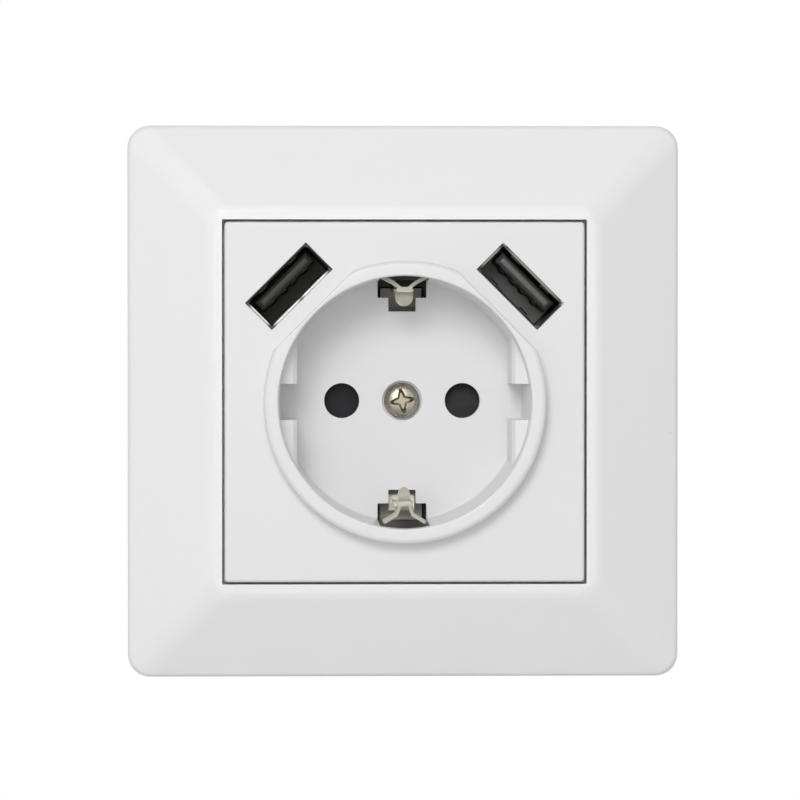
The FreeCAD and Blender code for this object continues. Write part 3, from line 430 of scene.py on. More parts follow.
def lathed(tree, radius, height, around, rows):
    """A grid wrapped round the Z axis: its X runs round and its Y runs down the outline."""
    grid = add_node(tree, "GeometryNodeMeshGrid", {
        "Size X": 1.0, "Size Y": 1.0, "Vertices X": around, "Vertices Y": rows}).outputs[0]
    spot = add_node(tree, "ShaderNodeCombineXYZ", {
        0: sum_of(tree, "MULTIPLY", radius, sum_of(tree, "COSINE", bearing)),
        1: sum_of(tree, "MULTIPLY", radius, sum_of(tree, "SINE", bearing)), 2: height}).outputs[0]
    shaped = add_node(tree, "GeometryNodeSetPosition", {"Geometry": grid, "Position": spot}).outputs[0]
    closed = add_node(tree, "GeometryNodeMergeByDistance", {
        "Geometry": shaped, "Distance": same_point}).outputs[0]
    return add_node(tree, "GeometryNodeFlipFaces", {"Mesh": closed}).outputs[0]


def clamped(tree, value, start, end):
    """0 below the start, 1 above the end and straight between."""
    return add_node(tree, "ShaderNodeMapRange", {
        "Value": value, "From Min": start, "From Max": end}).outputs[0]


dome_end = 0.75
side_end = 0.875
head_rows = 33
dome_turn = sum_of(tree, "MULTIPLY", clamped(tree, share_down, 0.0, dome_end), math.pi / 2)
dome_out = sum_of(tree, "POWER", sum_of(tree, "SINE", dome_turn), given.outputs["Dome Power"])
dome_up = sum_of(tree, "MAXIMUM", sum_of(tree, "COSINE", dome_turn), 0.0)
dome_up = sum_of(tree, "POWER", dome_up, given.outputs["Dome Power"])
dome_up = sum_of(tree, "MULTIPLY_ADD", dome_up,
                 sum_of(tree, "SUBTRACT", 1.0, given.outputs["Head Edge"]), given.outputs["Head Edge"])
side_down = sum_of(tree, "MULTIPLY", clamped(tree, share_down, dome_end, side_end),
                   given.outputs["Head Edge"])
closing = sum_of(tree, "SUBTRACT", 1.0, clamped(tree, share_down, side_end, 1.0))
head_radius = sum_of(tree, "MULTIPLY", sum_of(tree, "MULTIPLY", dome_out, closing),
                     given.outputs["Head Radius"])
head_height = sum_of(tree, "MULTIPLY", sum_of(tree, "SUBTRACT", dome_up, side_down),
                     given.outputs["Head Height"])
head = lathed(tree, head_radius, head_height, given.outputs["Around"], head_rows)

cap_end = 0.01
point_start = 0.9
depth = sum_of(tree, "MULTIPLY", share_down, given.outputs["Shank Length"])
phase = sum_of(tree, "ADD", sum_of(tree, "DIVIDE", depth, given.outputs["Thread Pitch"]), share_round)
groove = sum_of(tree, "MULTIPLY", sum_of(tree, "PINGPONG", phase, 0.5), 2.0)
groove = sum_of(tree, "MULTIPLY", groove, given.outputs["Thread Depth"])
shank_radius = sum_of(tree, "SUBTRACT", given.outputs["Shank Radius"], groove)
ends = sum_of(tree, "MULTIPLY", clamped(tree, share_down, 0.0, cap_end),
              sum_of(tree, "SUBTRACT", 1.0, clamped(tree, share_down, point_start, 1.0)))
shank_radius = sum_of(tree, "MULTIPLY", shank_radius, ends)
shank = lathed(tree, shank_radius, sum_of(tree, "MULTIPLY", depth, -1.0),
               given.outputs["Around"], given.outputs["Rows"])

sunk_taper = 0.45
arm_size = add_node(tree, "ShaderNodeCombineXYZ", {
    0: given.outputs["Recess Length"], 1: given.outputs["Recess Width"],
    2: sum_of(tree, "MULTIPLY", given.outputs["Recess Depth"], 2.0)}).outputs[0]
arm = add_node(tree, "GeometryNodeMeshCube", {
    "Size": arm_size, "Vertices X": 5, "Vertices Y": 2, "Vertices Z": 3}).outputs[0]
outward = sum_of(tree, "DIVIDE", sum_of(tree, "ABSOLUTE", across.outputs[0]),
                 given.outputs["Recess Length"])
narrowing = sum_of(tree, "MULTIPLY", given.outputs["Arm Taper"], -2.0)
narrowing = sum_of(tree, "MULTIPLY", outward, narrowing)
sunk = sum_of(tree, "DIVIDE", across.outputs[2], given.outputs["Recess Depth"])
sunk = sum_of(tree, "MULTIPLY_ADD", sum_of(tree, "MINIMUM", sunk, 0.0), sunk_taper, 1.0)
thin = sum_of(tree, "MULTIPLY", sum_of(tree, "ADD", narrowing, 1.0), sunk)
arm_spot = add_node(tree, "ShaderNodeCombineXYZ", {
    0: sum_of(tree, "MULTIPLY", across.outputs[0], sunk),
    1: sum_of(tree, "MULTIPLY", across.outputs[1], thin),
    2: sum_of(tree, "ADD", across.outputs[2], given.outputs["Head Height"])}).outputs[0]
arm = add_node(tree, "GeometryNodeSetPosition", {"Geometry": arm, "Position": arm_spot}).outputs[0]
quarter = add_node(tree, "GeometryNodeTransform", {
    "Geometry": arm, "Rotation": (0.0, 0.0, math.pi / 2)}).outputs[0]
slotted = add_node(tree, "GeometryNodeMeshBoolean", {
    "Mesh 1": head, "Mesh 2": arm}, operation="DIFFERENCE", solver="EXACT").outputs[0]
crossed = add_node(tree, "GeometryNodeMeshBoolean", {
    "Mesh 1": slotted, "Mesh 2": quarter}, operation="DIFFERENCE", solver="EXACT").outputs[0]
cut_head = add_node(tree, "GeometryNodeSwitch", {
    "Switch": given.outputs["Second Arm"], "False": slotted, "True": crossed},
    input_type="GEOMETRY").outputs[0]
from_axis = add_node(tree, "ShaderNodeCombineXYZ", {0: across.outputs[0], 1: across.outputs[1]}).outputs[0]
from_axis = add_node(tree, "ShaderNodeVectorMath", {0: from_axis}, operation="LENGTH").outputs["Value"]

# Painted shade deep in the recess: the head is stored darker there.
shade_reach = 0.47
shade_level = 0.62
seat_level = 0.05 * mm
recess_painted_shade = 0.7
in_recess = sum_of(tree, "LESS_THAN", from_axis,
                   sum_of(tree, "MULTIPLY", given.outputs["Recess Length"], shade_reach))
sunk_deep = sum_of(tree, "LESS_THAN", across.outputs[2],
                   sum_of(tree, "MULTIPLY", given.outputs["Head Height"], shade_level))
above_seat = sum_of(tree, "GREATER_THAN", across.outputs[2], seat_level)
deep_in_recess = sum_of(tree, "MULTIPLY", sum_of(tree, "MULTIPLY", in_recess, sunk_deep), above_seat)
cut_head = add_node(tree, "GeometryNodeStoreNamedAttribute", {
    "Geometry": cut_head, "Name": "tarnish_and_painted_shade", "Value": sum_of(tree, "MULTIPLY", deep_in_recess, recess_painted_shade)},
    data_type="FLOAT", domain="POINT")
both = add_node(tree, "GeometryNodeJoinGeometry")
tree.links.new(shank, both.inputs[0])
tree.links.new(cut_head.outputs[0], both.inputs[0])
spin = add_node(tree, "ShaderNodeCombineXYZ", {2: given.outputs["Turn"]}).outputs[0]
whole = add_node(tree, "GeometryNodeTransform", {"Geometry": both.outputs[0], "Rotation": spin}).outputs[0]
aim = add_node(tree, "FunctionNodeAlignRotationToVector", {"Vector": given.outputs["Facing"]}, axis="Z")
spread = add_node(tree, "GeometryNodeInstanceOnPoints", {
    "Points": given.outputs["Places"], "Instance": whole, "Rotation": aim.outputs[0]}).outputs[0]
real = add_node(tree, "GeometryNodeRealizeInstances", {"Geometry": spread}).outputs[0]
real = add_node(tree, "GeometryNodeSetMaterial", {
    "Geometry": real, "Material": given.outputs["Metal"]}).outputs[0]
tree.links.new(real, result.inputs["Screws"])
headed_screw = tree


def grown_piece(name, tree, places, material, sharp=30.0, **sizes):
    """A piece grown by a node tree from its places, with the tree's sizes given by name."""
    mesh = bpy.data.meshes.new(name)
    mesh.from_pydata([tuple(value * mm for value in place) for place in places], [], [])
    piece = new_piece(name, mesh)
    growth = piece.modifiers.new(tree.name, "NODES")
    growth.node_group = tree
    sizes["Metal"] = material
    for item in tree.interface.items_tree:
        if item.in_out == "INPUT" and item.name.replace(" ", "_") in sizes:
            growth[item.identifier] = sizes[item.name.replace(" ", "_")]
    settle(piece)
    finish_mesh(piece, material, sharp)
    return piece


screw_plating = plated_metal("screw_plating", nickel_colour, nickel_stain, 0.35, 0.22, (900.0, 900.0, 900.0))
screw_seat = 5.5
screw_end = 15.0
screw = grown_piece("cover_screw_head", headed_screw, [(0.0, screw_seat, 0.0)], screw_plating,
                    Shank_Length=(screw_end - screw_seat) * mm, Turn=math.radians(9.0),
                    Recess_Width=1.75 * mm, Recess_Length=4.5 * mm, Recess_Depth=1.1 * mm, Arm_Taper=0.78)
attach(screw, "socket")
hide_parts("cover_screw")


# Earth strap: one strip of nickel-plated spring steel, bent up into a sprung clip at the top and bottom.
# Its noses touch the plug's earth strips, and it lies in a channel behind the base.
clip_plating = plated_metal("clip_plating", (0.72, 0.70, 0.62, 1.0), (0.050, 0.046, 0.034, 1.0), 0.12, 0.50)
clip_ease = 0.05 * mm
strap = eased_copy("earth_strap", "earth_strap_clips", clip_ease, clip_plating)

# The upper clip's wings spread wider than the solid's. Both paths run across and up from the fold.
fold_level = 17.65
fold_slack = 0.02
hood_back = -4.4
hood_path = [(0.0, 0.0), (0.85, 0.0), (1.5, 1.65), (3.4, 2.8)]
spread_path = [(0.0, 0.0), (0.95, 0.0), (2.05, 0.90), (3.55, 1.85)]
bend_share = 0.2


def sheet_normal(path, run):
    """The unit normal of one run of a folded sheet's path."""
    (x, z), (next_x, next_z) = path[run], path[run + 1]
    length = math.hypot(next_x - x, next_z - z)
    return (z - next_z) / length, (next_x - x) / length


def spread_wing(x, z):
    """Moves a point of the upper clip's hood from the solid's folded path to the path of the spread wings."""
    found = []
    runs = len(hood_path) - 1
    for run in range(runs):
        (start_x, start_z), (end_x, end_z) = hood_path[run], hood_path[run + 1]
        run_x, run_z = end_x - start_x, end_z - start_z
        share = ((x - start_x) * run_x + (z - start_z) * run_z) / (run_x ** 2 + run_z ** 2)
        share = min(max(share, 0.0), 1.0)
        away = math.hypot(x - start_x - share * run_x, z - start_z - share * run_z)
        normal = sheet_normal(hood_path, run)
        found.append((away, run, share, (x - start_x) * normal[0] + (z - start_z) * normal[1]))
    away, run, share, lift = min(found)
    (start_x, start_z), (end_x, end_z) = spread_path[run], spread_path[run + 1]
    normal = Vector(sheet_normal(spread_path, run))
    neighbour = run - 1 if share < bend_share else run + 1 if share > 1.0 - bend_share else run
    if neighbour != run and 0 <= neighbour < runs:
        beside = Vector(sheet_normal(spread_path, neighbour))
        normal = (normal + beside) / (1.0 + normal.dot(beside))
    return (start_x + share * (end_x - start_x) + lift * normal[0],
            start_z + share * (end_z - start_z) + lift * normal[1])


shape = bmesh.new()
shape.from_mesh(strap.data)
for point in shape.verts:
    above_fold = point.co.z / mm - fold_level
    if above_fold > -fold_slack and point.co.y < hood_back * mm:
        wide, high = spread_wing(abs(point.co.x) / mm, above_fold)
        point.co.x = math.copysign(wide * mm, point.co.x)
        point.co.z = (fold_level + high) * mm

# The lower clip's nose is narrower. The upper clip has painted shade deep behind its window, and both clips
# have painted shade near the mouth.
narrower_nose = 0.68
nose_back = 3.0
nose_end = -16.0
window_back = 5.0
mouth_front = -8.9
clip_painted_shade = {"upper": {"window": 0.45, "mouth": 0.50}, "lower": {"window": 0.05, "mouth": 0.55}}
tarnish_and_painted_shade = shape.verts.layers.float.new("tarnish_and_painted_shade")
for point in shape.verts:
    clip = "upper" if point.co.z > 0 else "lower"
    if clip == "lower" and point.co.y < nose_back * mm and point.co.z > nose_end * mm:
        point.co.x *= narrower_nose
    if point.co.y > window_back * mm:
        point[tarnish_and_painted_shade] = clip_painted_shade[clip]["window"]
    elif point.co.y < mouth_front * mm:
        point[tarnish_and_painted_shade] = clip_painted_shade[clip]["mouth"]

# The strap's wide end and its lug, seen behind the lower window: two opposite corners and their painted
# shade.
wide_end = ((-3.36, 10.85, -19.25), (3.36, 11.50, -16.10), 0.45)
bright_lug = ((-2.05, 7.20, -17.40), (2.05, 11.00, -14.30), 0.32)
for lowest, highest, painted_shade in (wide_end, bright_lug):
    for point in bmesh.ops.create_cube(shape, size=1.0)["verts"]:
        point.co = [mm * (low + (high - low) * (place + 0.5))
                    for place, low, high in zip(point.co, lowest, highest)]
        point[tarnish_and_painted_shade] = painted_shade
shape.to_mesh(strap.data)
shape.free()
finish_mesh(strap, clip_plating)
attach(strap, "socket")
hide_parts("earth_strap")


# Charging ports: each is a folded nickel-plated shell round a black insulator whose tongue carries
# four gold-flashed contacts. They are soldered to the narrow board behind the cover.
port_half_long = 6.55
port_half_short = 2.85
port_front = -8.7
port_distance = 25.3
lip_length = 0.6
corner_gap = 0.7
corner_trim = 0.10
seam_gap = 0.14
lip_steps = 6
inside_painted_shade = 0.95
cut_end_painted_shade = 0.9
lit_wall_painted_shade = 0.10

# Outline of each kind of flap, as steps inward and into the wall, and its painted shade: low on a lit flap,
# high on a shaded one. Every flap has the same back.
lip_back = [(-0.09, 0.06), (-0.09, 0.30), (0.0, 0.40), (0.0, lip_length)]
steep_lip = (((0.30, 0.60), (0.26, 0.42), (0.16, 0.18), (0.06, 0.02)), 0.88)
bright_lip = (((0.30, 0.60), (0.33, 0.40), (0.36, 0.20), (0.34, 0.12), (0.06, 0.0)), 0.12)
middling_lip = (((0.30, 0.60), (0.32, 0.40), (0.33, 0.26), (0.30, 0.14), (0.06, 0.0)), 0.42)
port_lips = {
    "left": {"low": bright_lip, "high": steep_lip, "near": bright_lip, "far": steep_lip},
    "right": {"low": steep_lip, "high": middling_lip, "near": middling_lip, "far": steep_lip},
}
port_turn = {"left": math.radians(-45.0), "right": math.radians(45.0)}
shell_nickel = plated_metal("shell_nickel", (0.66, 0.63, 0.57, 1.0), (0.040, 0.037, 0.026, 1.0), 0.12, 0.26)


def port_place(side, along, across, deep):
    """The place of a point of a port, given along its long side, across it and into the wall."""
    turn, high = port_turn[side], port_distance + across
    return (mm * (along * math.cos(turn) + high * math.sin(turn)), mm * deep,
            mm * (high * math.cos(turn) - along * math.sin(turn)))


def cut_back(shape):
    """Takes the front off the folded shell and closes the cut."""
    whole = shape.verts[:] + shape.edges[:] + shape.faces[:]
    done = bmesh.ops.bisect_plane(shape, geom=whole, dist=same_point, clear_inner=True,
                                  plane_co=(0, (port_front + lip_length) * mm, 0), plane_no=(0, 1, 0))
    rim = [edge for edge in done["geom_cut"] if isinstance(edge, bmesh.types.BMEdge)]
    bmesh.ops.triangle_fill(shape, use_beauty=True, edges=rim, normal=(0, -1, 0))


def add_lip(shape, tarnish_and_painted_shade, lip, start, end, put):
    """One flap of the mouth: a thick closed bar whose inner face has the lip's outline."""
    outline, painted_shade = lip
    profile = list(outline) + lip_back
    rows = []
    for step in range(lip_steps + 1):
        along = start + (end - start) * step / lip_steps
        trimmed = corner_trim if step == 0 else -corner_trim if step == lip_steps else 0.0
        row = []
        for inward, deep in profile:
            trim = trimmed * (1.0 - deep / lip_length)
            point = shape.verts.new(put(along - trim, inward, port_front + deep))
            # The flap's cut ends are painted dark, as shade in the mouth's corners.
            point[tarnish_and_painted_shade] = painted_shade if 0 < step < lip_steps else cut_end_painted_shade
            row.append(point)
        rows.append(row)
    count = len(profile)
    for one, two in zip(rows, rows[1:]):
        for k in range(count):
            shape.faces.new((one[k], one[(k + 1) % count], two[(k + 1) % count], two[k]))
    shape.faces.new(rows[0][::-1])
    shape.faces.new(rows[-1])


def port_shell(side):
    """The shell with the four flared flaps of its mouth; the wall next to the well has the seam."""
    mesh, shape = joined_copy("usb_shell_" + side)
    tarnish_and_painted_shade = shape.verts.layers.float.new("tarnish_and_painted_shade")
    cut_back(shape)
    # Painted shade deep inside the shell; the right port's wall next to the well is painted light.
    for point in shape.verts:
        across = point.co.z * math.cos(port_turn[side]) + point.co.x * math.sin(port_turn[side])
        bright = side == "right" and across / mm < port_distance and point.co.y > 0
        point[tarnish_and_painted_shade] = lit_wall_painted_shade if bright else inside_painted_shade
    lips = port_lips[side]
    long_end = port_half_long - corner_gap
    short_end = port_half_short - corner_gap
    low_runs = ((-long_end, -seam_gap / 2), (seam_gap / 2, long_end))
    for start, end in low_runs:
        add_lip(shape, tarnish_and_painted_shade, lips["low"], start, end,
                lambda along, inward, deep: port_place(side, along, inward - port_half_short, deep))
    add_lip(shape, tarnish_and_painted_shade, lips["high"], -long_end, long_end,
            lambda along, inward, deep: port_place(side, along, port_half_short - inward, deep))
    add_lip(shape, tarnish_and_painted_shade, lips["near"], -short_end, short_end,
            lambda along, inward, deep: port_place(side, inward - port_half_long, along, deep))
    add_lip(shape, tarnish_and_painted_shade, lips["far"], -short_end, short_end,
            lambda along, inward, deep: port_place(side, port_half_long - inward, along, deep))
    bmesh.ops.recalc_face_normals(shape, faces=shape.faces)
    shape.to_mesh(mesh)
    shape.free()
    return new_piece("port_shell_" + side, mesh)


# Contact strip: a flat strip whose front end thins out into the tongue, one at each vertex of the piece.
tree, given, result = new_group(
    "GeometryNodeTree", "contact_row",
    [("Places", "NodeSocketGeometry", None), ("Width", "NodeSocketFloat", 1.0 * mm),
     ("Sheet", "NodeSocketFloat", 0.2 * mm), ("Length", "NodeSocketFloat", 13.0 * mm),
     ("Lead", "NodeSocketFloat", 0.12), ("Crown", "NodeSocketFloat", 0.06 * mm),
     ("Turn", "NodeSocketFloat", 0.0), ("Metal", "NodeSocketMaterial", None)],
    [("Contacts", "NodeSocketGeometry")])
strip_size = add_node(tree, "ShaderNodeCombineXYZ", {
    0: given.outputs["Width"], 1: given.outputs["Length"], 2: given.outputs["Sheet"]}).outputs[0]
strip = add_node(tree, "GeometryNodeMeshCube", {
    "Size": strip_size, "Vertices X": 4, "Vertices Y": 24, "Vertices Z": 2}).outputs[0]
place = add_node(tree, "GeometryNodeInputPosition").outputs[0]
across = add_node(tree, "ShaderNodeSeparateXYZ", {0: place})
along = sum_of(tree, "ADD", sum_of(tree, "DIVIDE", across.outputs[1], given.outputs["Length"]), 0.5)
thick = add_node(tree, "ShaderNodeMapRange", {
    "Value": along, "From Min": 0.0, "From Max": given.outputs["Lead"], "To Min": 0.1, "To Max": 1.0},
    interpolation_type="SMOOTHSTEP").outputs[0]
half_sheet = sum_of(tree, "MULTIPLY", given.outputs["Sheet"], 0.5)
level = sum_of(tree, "SUBTRACT", across.outputs[2], half_sheet)
level = sum_of(tree, "MULTIPLY", level, thick)
edge = sum_of(tree, "DIVIDE", across.outputs[0], given.outputs["Width"])
rounded = sum_of(tree, "MULTIPLY", sum_of(tree, "MULTIPLY", edge, edge), 4.0)
rounded = sum_of(tree, "MULTIPLY", sum_of(tree, "MULTIPLY", rounded, given.outputs["Crown"]), thick)
below = sum_of(tree, "LESS_THAN", across.outputs[2], 0.0)
level = sum_of(tree, "MULTIPLY_ADD", rounded, below, level)
bent = add_node(tree, "ShaderNodeCombineXYZ", {
    0: across.outputs[0],
    1: sum_of(tree, "MULTIPLY", along, given.outputs["Length"]), 2: level}).outputs[0]
strip = add_node(tree, "GeometryNodeSetPosition", {"Geometry": strip, "Position": bent}).outputs[0]
spin = add_node(tree, "ShaderNodeCombineXYZ", {1: given.outputs["Turn"]}).outputs[0]
spread = add_node(tree, "GeometryNodeInstanceOnPoints", {
    "Points": given.outputs["Places"], "Instance": strip, "Rotation": spin}).outputs[0]
real = add_node(tree, "GeometryNodeRealizeInstances", {"Geometry": spread}).outputs[0]
real = add_node(tree, "GeometryNodeSetMaterial", {
    "Geometry": real, "Material": given.outputs["Metal"]}).outputs[0]
tree.links.new(real, result.inputs["Contacts"])
contact_row = tree


# Both tongues are one black plastic; the right one is painted lighter and shinier, as painted light where it
# catches more light.
insulator_black = {
    "left": moulded_plastic("black_insulator", (0.030, 0.029, 0.026, 1.0), 0.45, 0.2, grain=0.4, shine=0.3),
    "right": moulded_plastic("dusty_insulator", (0.048, 0.048, 0.045, 1.0), 0.42, 0.3, grain=0.4, shine=0.7),
}
# The gold flash is painted very dark and heavily stained: painted shade for the contacts deep inside the
# ports.
gold_flash = plated_metal("gold_flash", (0.17, 0.14, 0.09, 1.0), (0.05, 0.045, 0.035, 1.0), 0.8, 0.25)
contact_places = (-3.5, -1.0, 1.0, 3.5)
contact_front = -7.0
tongue_underside = 0.03
tongue_ease = 0.22 * mm
for side in ("left", "right"):
    shell = port_shell(side)
    finish_mesh(shell, shell_nickel)
    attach(shell, "socket")
    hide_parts("usb_shell_" + side)
    tongue = eased_copy("usb_tongue_" + side, "port_tongue_" + side, tongue_ease, insulator_black[side],
                        segments=4)
    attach(tongue, "socket")
    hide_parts("usb_tongue_" + side)
    contact_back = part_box("usb_contacts_" + side)[1].y
    spots = [[value / mm for value in port_place(side, place, tongue_underside, contact_front)]
             for place in contact_places]
    contacts = grown_piece("port_contacts_" + side, contact_row, spots, gold_flash,
                           Length=contact_back - contact_front * mm, Turn=port_turn[side])
    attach(contacts, "socket")
    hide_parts("usb_contacts_" + side)


# Contact base and shutter: the base is a grey moulding that holds every live part behind the well.
# The dark shutter turns on the cover's boss and closes both pin holes.
grey_moulding = moulded_plastic("grey_moulding", (0.10, 0.095, 0.085, 1.0), 0.5, 0.08, grain=0.35)
base = plain_copy("contact_base", "base_moulding", grey_moulding)
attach(base, "socket")
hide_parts("contact_base")
dark_moulding = moulded_plastic("dark_moulding", (0.020, 0.018, 0.021, 1.0), 0.5, 0.15, grain=0.3, shine=0.2)
shutter_ease = 0.05 * mm
shutter = eased_copy("shutter", "shutter_moulding", shutter_ease, dark_moulding)
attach(shutter, "shutter")
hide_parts("shutter")


# Support ring: a zinc-plated steel plate with holes and slots for the wall box's screws. Four small
# cross-headed screws hold it to the housing's bosses.
zinc_grey = (0.50, 0.51, 0.52, 1.0)
zinc_stain = (0.30, 0.30, 0.29, 1.0)
zinc_plate = plated_metal("zinc_plate", zinc_grey, zinc_stain, 0.35, 0.36, (500.0, 500.0, 1400.0))
ring = plain_copy("support_ring", "support_plate", zinc_plate)
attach(ring, "socket")
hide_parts("support_ring")
low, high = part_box("ring_screws")
ring_head_r = 1.9
ring_plate = 1.2
ring_screw_x = (low.x / mm + ring_head_r, high.x / mm - ring_head_r)
ring_screw_z = (-5.0, 5.0)
spots = [(x, -ring_plate, z) for x in ring_screw_x for z in ring_screw_z]
ring_screws = grown_piece("plate_screws", headed_screw, spots, zinc_plate, Head_Radius=ring_head_r * mm,
                          Head_Height=1.1 * mm, Shank_Radius=1.0 * mm, Shank_Length=7.0 * mm,
                          Thread_Pitch=0.5 * mm, Thread_Depth=0.18 * mm, Recess_Width=0.55 * mm,
                          Recess_Length=2.4 * mm, Recess_Depth=0.6 * mm, Turn=math.radians(20.0),
                          Around=33, Rows=57)
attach(ring_screws, "socket")
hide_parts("ring_screws")


# Mains parts: split brass sleeves for the plug's pins and drilled brass blocks for the wires. The blocks'
# slotted clamping screws are zinc-plated steel. The shutter's spring is drawn wire.
brass_strip = plated_metal("brass_strip", (0.52, 0.38, 0.16, 1.0), (0.22, 0.15, 0.07, 1.0), 0.4, 0.34)
brass_tarnish = 0.75
for node, name in (("live_contact", "live_sleeve"), ("neutral_contact", "neutral_sleeve"),
                   ("live_terminal", "live_block"), ("neutral_terminal", "neutral_block"),
                   ("earth_terminal", "earth_block")):
    part = plain_copy(node, name, brass_strip)
    tarnish = part.data.attributes.new("tarnish_and_painted_shade", "FLOAT", "POINT")
    tarnish.data.foreach_set("value", [brass_tarnish] * len(part.data.vertices))
    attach(part, "socket")
    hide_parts(node)
clamp_head = 1.5
for wire in ("live", "neutral", "earth"):
    node = wire + "_terminal_screw"
    low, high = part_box(node)
    seat = ((low.x + high.x) / 2 / mm, (low.y + high.y) / 2 / mm, low.z / mm + clamp_head)
    part = grown_piece(wire + "_clamp_screw", headed_screw, [seat], zinc_plate, Head_Radius=2.3 * mm,
                       Head_Height=clamp_head * mm, Head_Edge=0.7, Shank_Radius=1.5 * mm,
                       Shank_Length=high.z - low.z - clamp_head * mm, Recess_Width=0.6 * mm,
                       Recess_Length=5.0 * mm, Recess_Depth=0.7 * mm, Arm_Taper=0.0, Second_Arm=False,
                       Facing=(0.0, 0.0, -1.0), Around=33, Rows=41)
    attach(part, "socket")
    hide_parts(node)
spring_wire = plated_metal("spring_wire", (0.40, 0.40, 0.41, 1.0), (0.16, 0.15, 0.14, 1.0), 0.3, 0.30)


# Rear housing: an eight-sided cup in off-white plastic that snaps over the base and holds the charger.
off_white = moulded_plastic("off_white", (0.66, 0.66, 0.63, 1.0), 0.48, 0.05, grain=0.6)
housing = plain_copy("rear_housing", "housing_moulding", off_white)
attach(housing, "socket")
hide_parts("rear_housing")


# Charger: two coated boards joined by pins, a small transformer with a taped winding, two capacitors in
# shrink sleeves, a rectifier and a controller in moulded epoxy. They are soldered into the boards.
track_scale = 420.0
weave_scale = 2500.0


def coated_board(name):
    """Green solder mask over a laminate, with the copper tracks showing as slightly raised, lighter lines."""
    material, tree, shader = new_material(name, IOR=1.5, Coat_Roughness=0.15)
    spot = add_node(tree, "ShaderNodeTexCoord").outputs["Object"]
    cells = add_node(tree, "ShaderNodeTexVoronoi", {"Vector": spot, "Scale": track_scale},
                     distance="CHEBYCHEV", feature="F1").outputs["Distance"]
    track = add_node(tree, "ShaderNodeMapRange", {
        "Value": cells, "From Min": 0.30, "From Max": 0.34}).outputs[0]
    weave = add_node(tree, "ShaderNodeTexNoise", {
        "Vector": spot, "Scale": weave_scale, "Detail": 2.0}).outputs[0]
    green = add_node(tree, "ShaderNodeMix", {
        0: track, 6: (0.016, 0.075, 0.035, 1.0), 7: (0.035, 0.150, 0.060, 1.0)}, data_type="RGBA").outputs[2]
    tree.links.new(green, shader.inputs["Base Color"])
    tree.links.new(sum_of(tree, "MULTIPLY_ADD", weave, 0.15, 0.28), shader.inputs["Roughness"])
    bump = add_node(tree, "ShaderNodeBump", {
        "Height": sum_of(tree, "MULTIPLY_ADD", weave, 0.2, track), "Distance": 0.03 * mm})
    tree.links.new(bump.outputs[0], shader.inputs["Normal"])
    return material


solder_mask = coated_board("solder_mask")
sintered_core = moulded_plastic("sintered_core", (0.055, 0.055, 0.058, 1.0), 0.7, clouding=0.4,
                                ripple=1 * mm, grain=0.8, depth=0.02 * mm)
winding_tape = moulded_plastic("winding_tape", (0.70, 0.50, 0.08, 1.0), 0.32, clouding=0.10,
                               ripple=0.8 * mm, grain=0.2, depth=0.03 * mm)
shrink_sleeve = moulded_plastic("shrink_sleeve", (0.020, 0.022, 0.035, 1.0), 0.30, clouding=0.20,
                                ripple=1.5 * mm, grain=0.2, depth=0.02 * mm)
moulded_epoxy = moulded_plastic("moulded_epoxy", (0.028, 0.028, 0.030, 1.0), 0.55, clouding=0.30,
                                ripple=1 * mm, grain=0.6, depth=0.01 * mm)
finishes = {
    "shutter_spring": spring_wire, "usb_board": solder_mask, "charger_board": solder_mask,
    "board_link_pins": brass_strip, "mains_link_pins": brass_strip, "transformer_core": sintered_core,
    "transformer_winding": winding_tape, "input_capacitor": shrink_sleeve, "output_capacitor": shrink_sleeve,
    "rectifier": moulded_epoxy, "controller_chip": moulded_epoxy,
}
for node, finish in finishes.items():
    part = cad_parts[node]
    part.data.materials.clear()
    part.data.materials.append(finish)


# Daylight studio: a pale floor well below the socket, and four soft lamps. A large and a small one hang in
# front of it, a little up and to the left, one is above and one at the left.
floor_level = -120 * mm
floor_half = 4.0
floor_mesh = bpy.data.meshes.new("studio_floor")
floor_mesh.from_pydata(
    [(-floor_half, -floor_half, floor_level), (floor_half, -floor_half, floor_level),
     (floor_half, floor_half, floor_level), (-floor_half, floor_half, floor_level)], [], [(0, 1, 2, 3)])
floor = new_piece("studio_floor", floor_mesh)
floor_material, tree, shader = new_material("studio_floor", Roughness=0.9)
shader.inputs["Base Color"].default_value = (0.86, 0.86, 0.86, 1.0)
white_start = 0.20
white_end = 0.48
spot = add_node(tree, "ShaderNodeTexCoord").outputs["Object"]
reach = add_node(tree, "ShaderNodeVectorMath", {0: spot}, operation="LENGTH").outputs["Value"]
far = add_node(tree, "ShaderNodeMapRange", {"Value": reach, "From Min": white_start, "From Max": white_end},
               interpolation_type="SMOOTHSTEP").outputs[0]


def seen_rays(tree):
    """1 for rays from the camera and for those that metal or glass sends on, and 0 for the rest."""
    rays = add_node(tree, "ShaderNodeLightPath").outputs
    seen = sum_of(tree, "MAXIMUM", rays["Is Camera Ray"], rays["Is Glossy Ray"])
    return sum_of(tree, "MAXIMUM", seen, rays["Is Transmission Ray"])


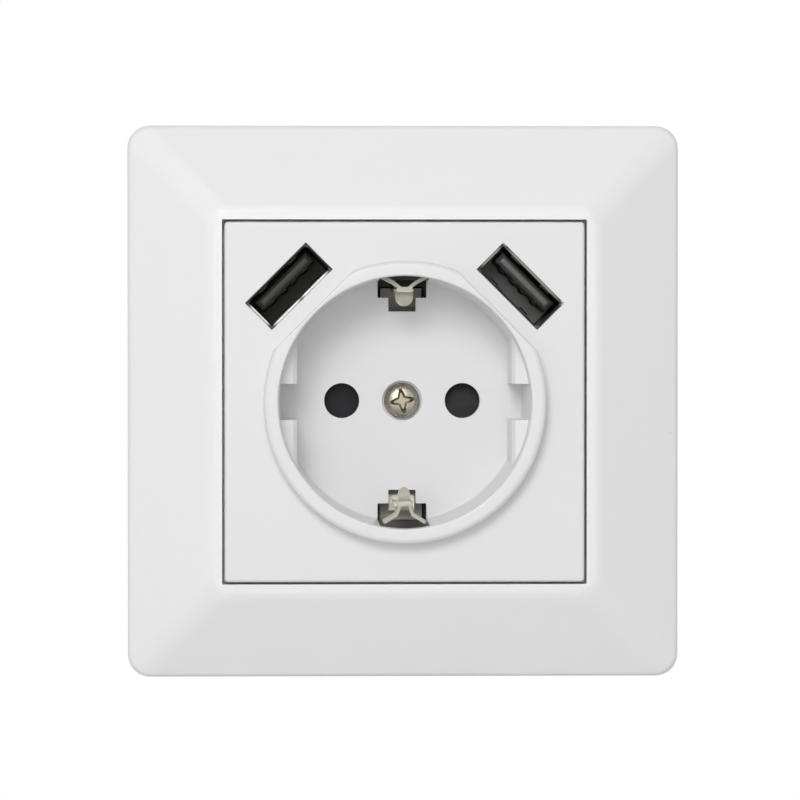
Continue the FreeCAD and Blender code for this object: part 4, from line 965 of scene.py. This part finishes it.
white_out = add_node(tree, "ShaderNodeEmission", {"Color": (1.0, 1.0, 1.0, 1.0), "Strength": 1.0})
fading = add_node(tree, "ShaderNodeMixShader", {
    0: sum_of(tree, "MULTIPLY", seen_rays(tree), far), 1: shader.outputs[0], 2: white_out.outputs[0]})
tree.links.new(fading.outputs[0], tree.nodes["Material Output"].inputs["Surface"])
floor_mesh.materials.append(floor_material)

world = bpy.data.worlds.new("studio")
bpy.context.scene.world = world
world.use_nodes = True
tree = world.node_tree
backdrop = tree.nodes["Background"]
backdrop.inputs["Color"].default_value = (1.0, 1.0, 1.0, 1.0)
ambient = 0.39
level = sum_of(tree, "MULTIPLY_ADD", seen_rays(tree), 1.0 - ambient, ambient)
tree.links.new(level, backdrop.inputs["Strength"])


def soft_lamp(name, place, size, watts):
    """A square lamp that faces the socket, with its place and side in metres."""
    lamp = bpy.data.lights.new(name, "AREA")
    lamp.shape = "SQUARE"
    lamp.size = size
    lamp.energy = watts
    holder = bpy.data.objects.new(name, lamp)
    holder.location = place
    holder.rotation_euler = (-Vector(place)).to_track_quat("-Z", "Y").to_euler()
    bpy.context.scene.collection.objects.link(holder)


soft_lamp("front_lamp", (-0.35, -2.10, 0.45), 1.4, 8.1)
soft_lamp("near_lamp", (-0.15, -0.90, 0.35), 0.3, 2.8)
soft_lamp("top_lamp", (0.0, -0.8, 1.3), 1.0, 0.7)
soft_lamp("left_lamp", (-1.4, -0.9, 0.25), 0.7, 0.7)


# Camera: a long lens about 0.7 m away, a little to the left of the socket's axis and above it.
eye = Vector((-21.6 * mm, -700 * mm, 11.0 * mm))
aim = Vector((-0.45 * mm, 0.0, 0.17 * mm))
camera = bpy.data.objects.new("camera", bpy.data.cameras.new("camera"))
camera.data.sensor_width = 36.0
camera.data.lens = 201.3
camera.data.clip_start = 0.05
camera.data.clip_end = 20.0
camera.location = eye
camera.rotation_euler = (aim - eye).to_track_quat("-Z", "Y").to_euler()
bpy.context.scene.collection.objects.link(camera)
bpy.context.scene.camera = camera
bpy.context.scene.view_settings.view_transform = "Standard"
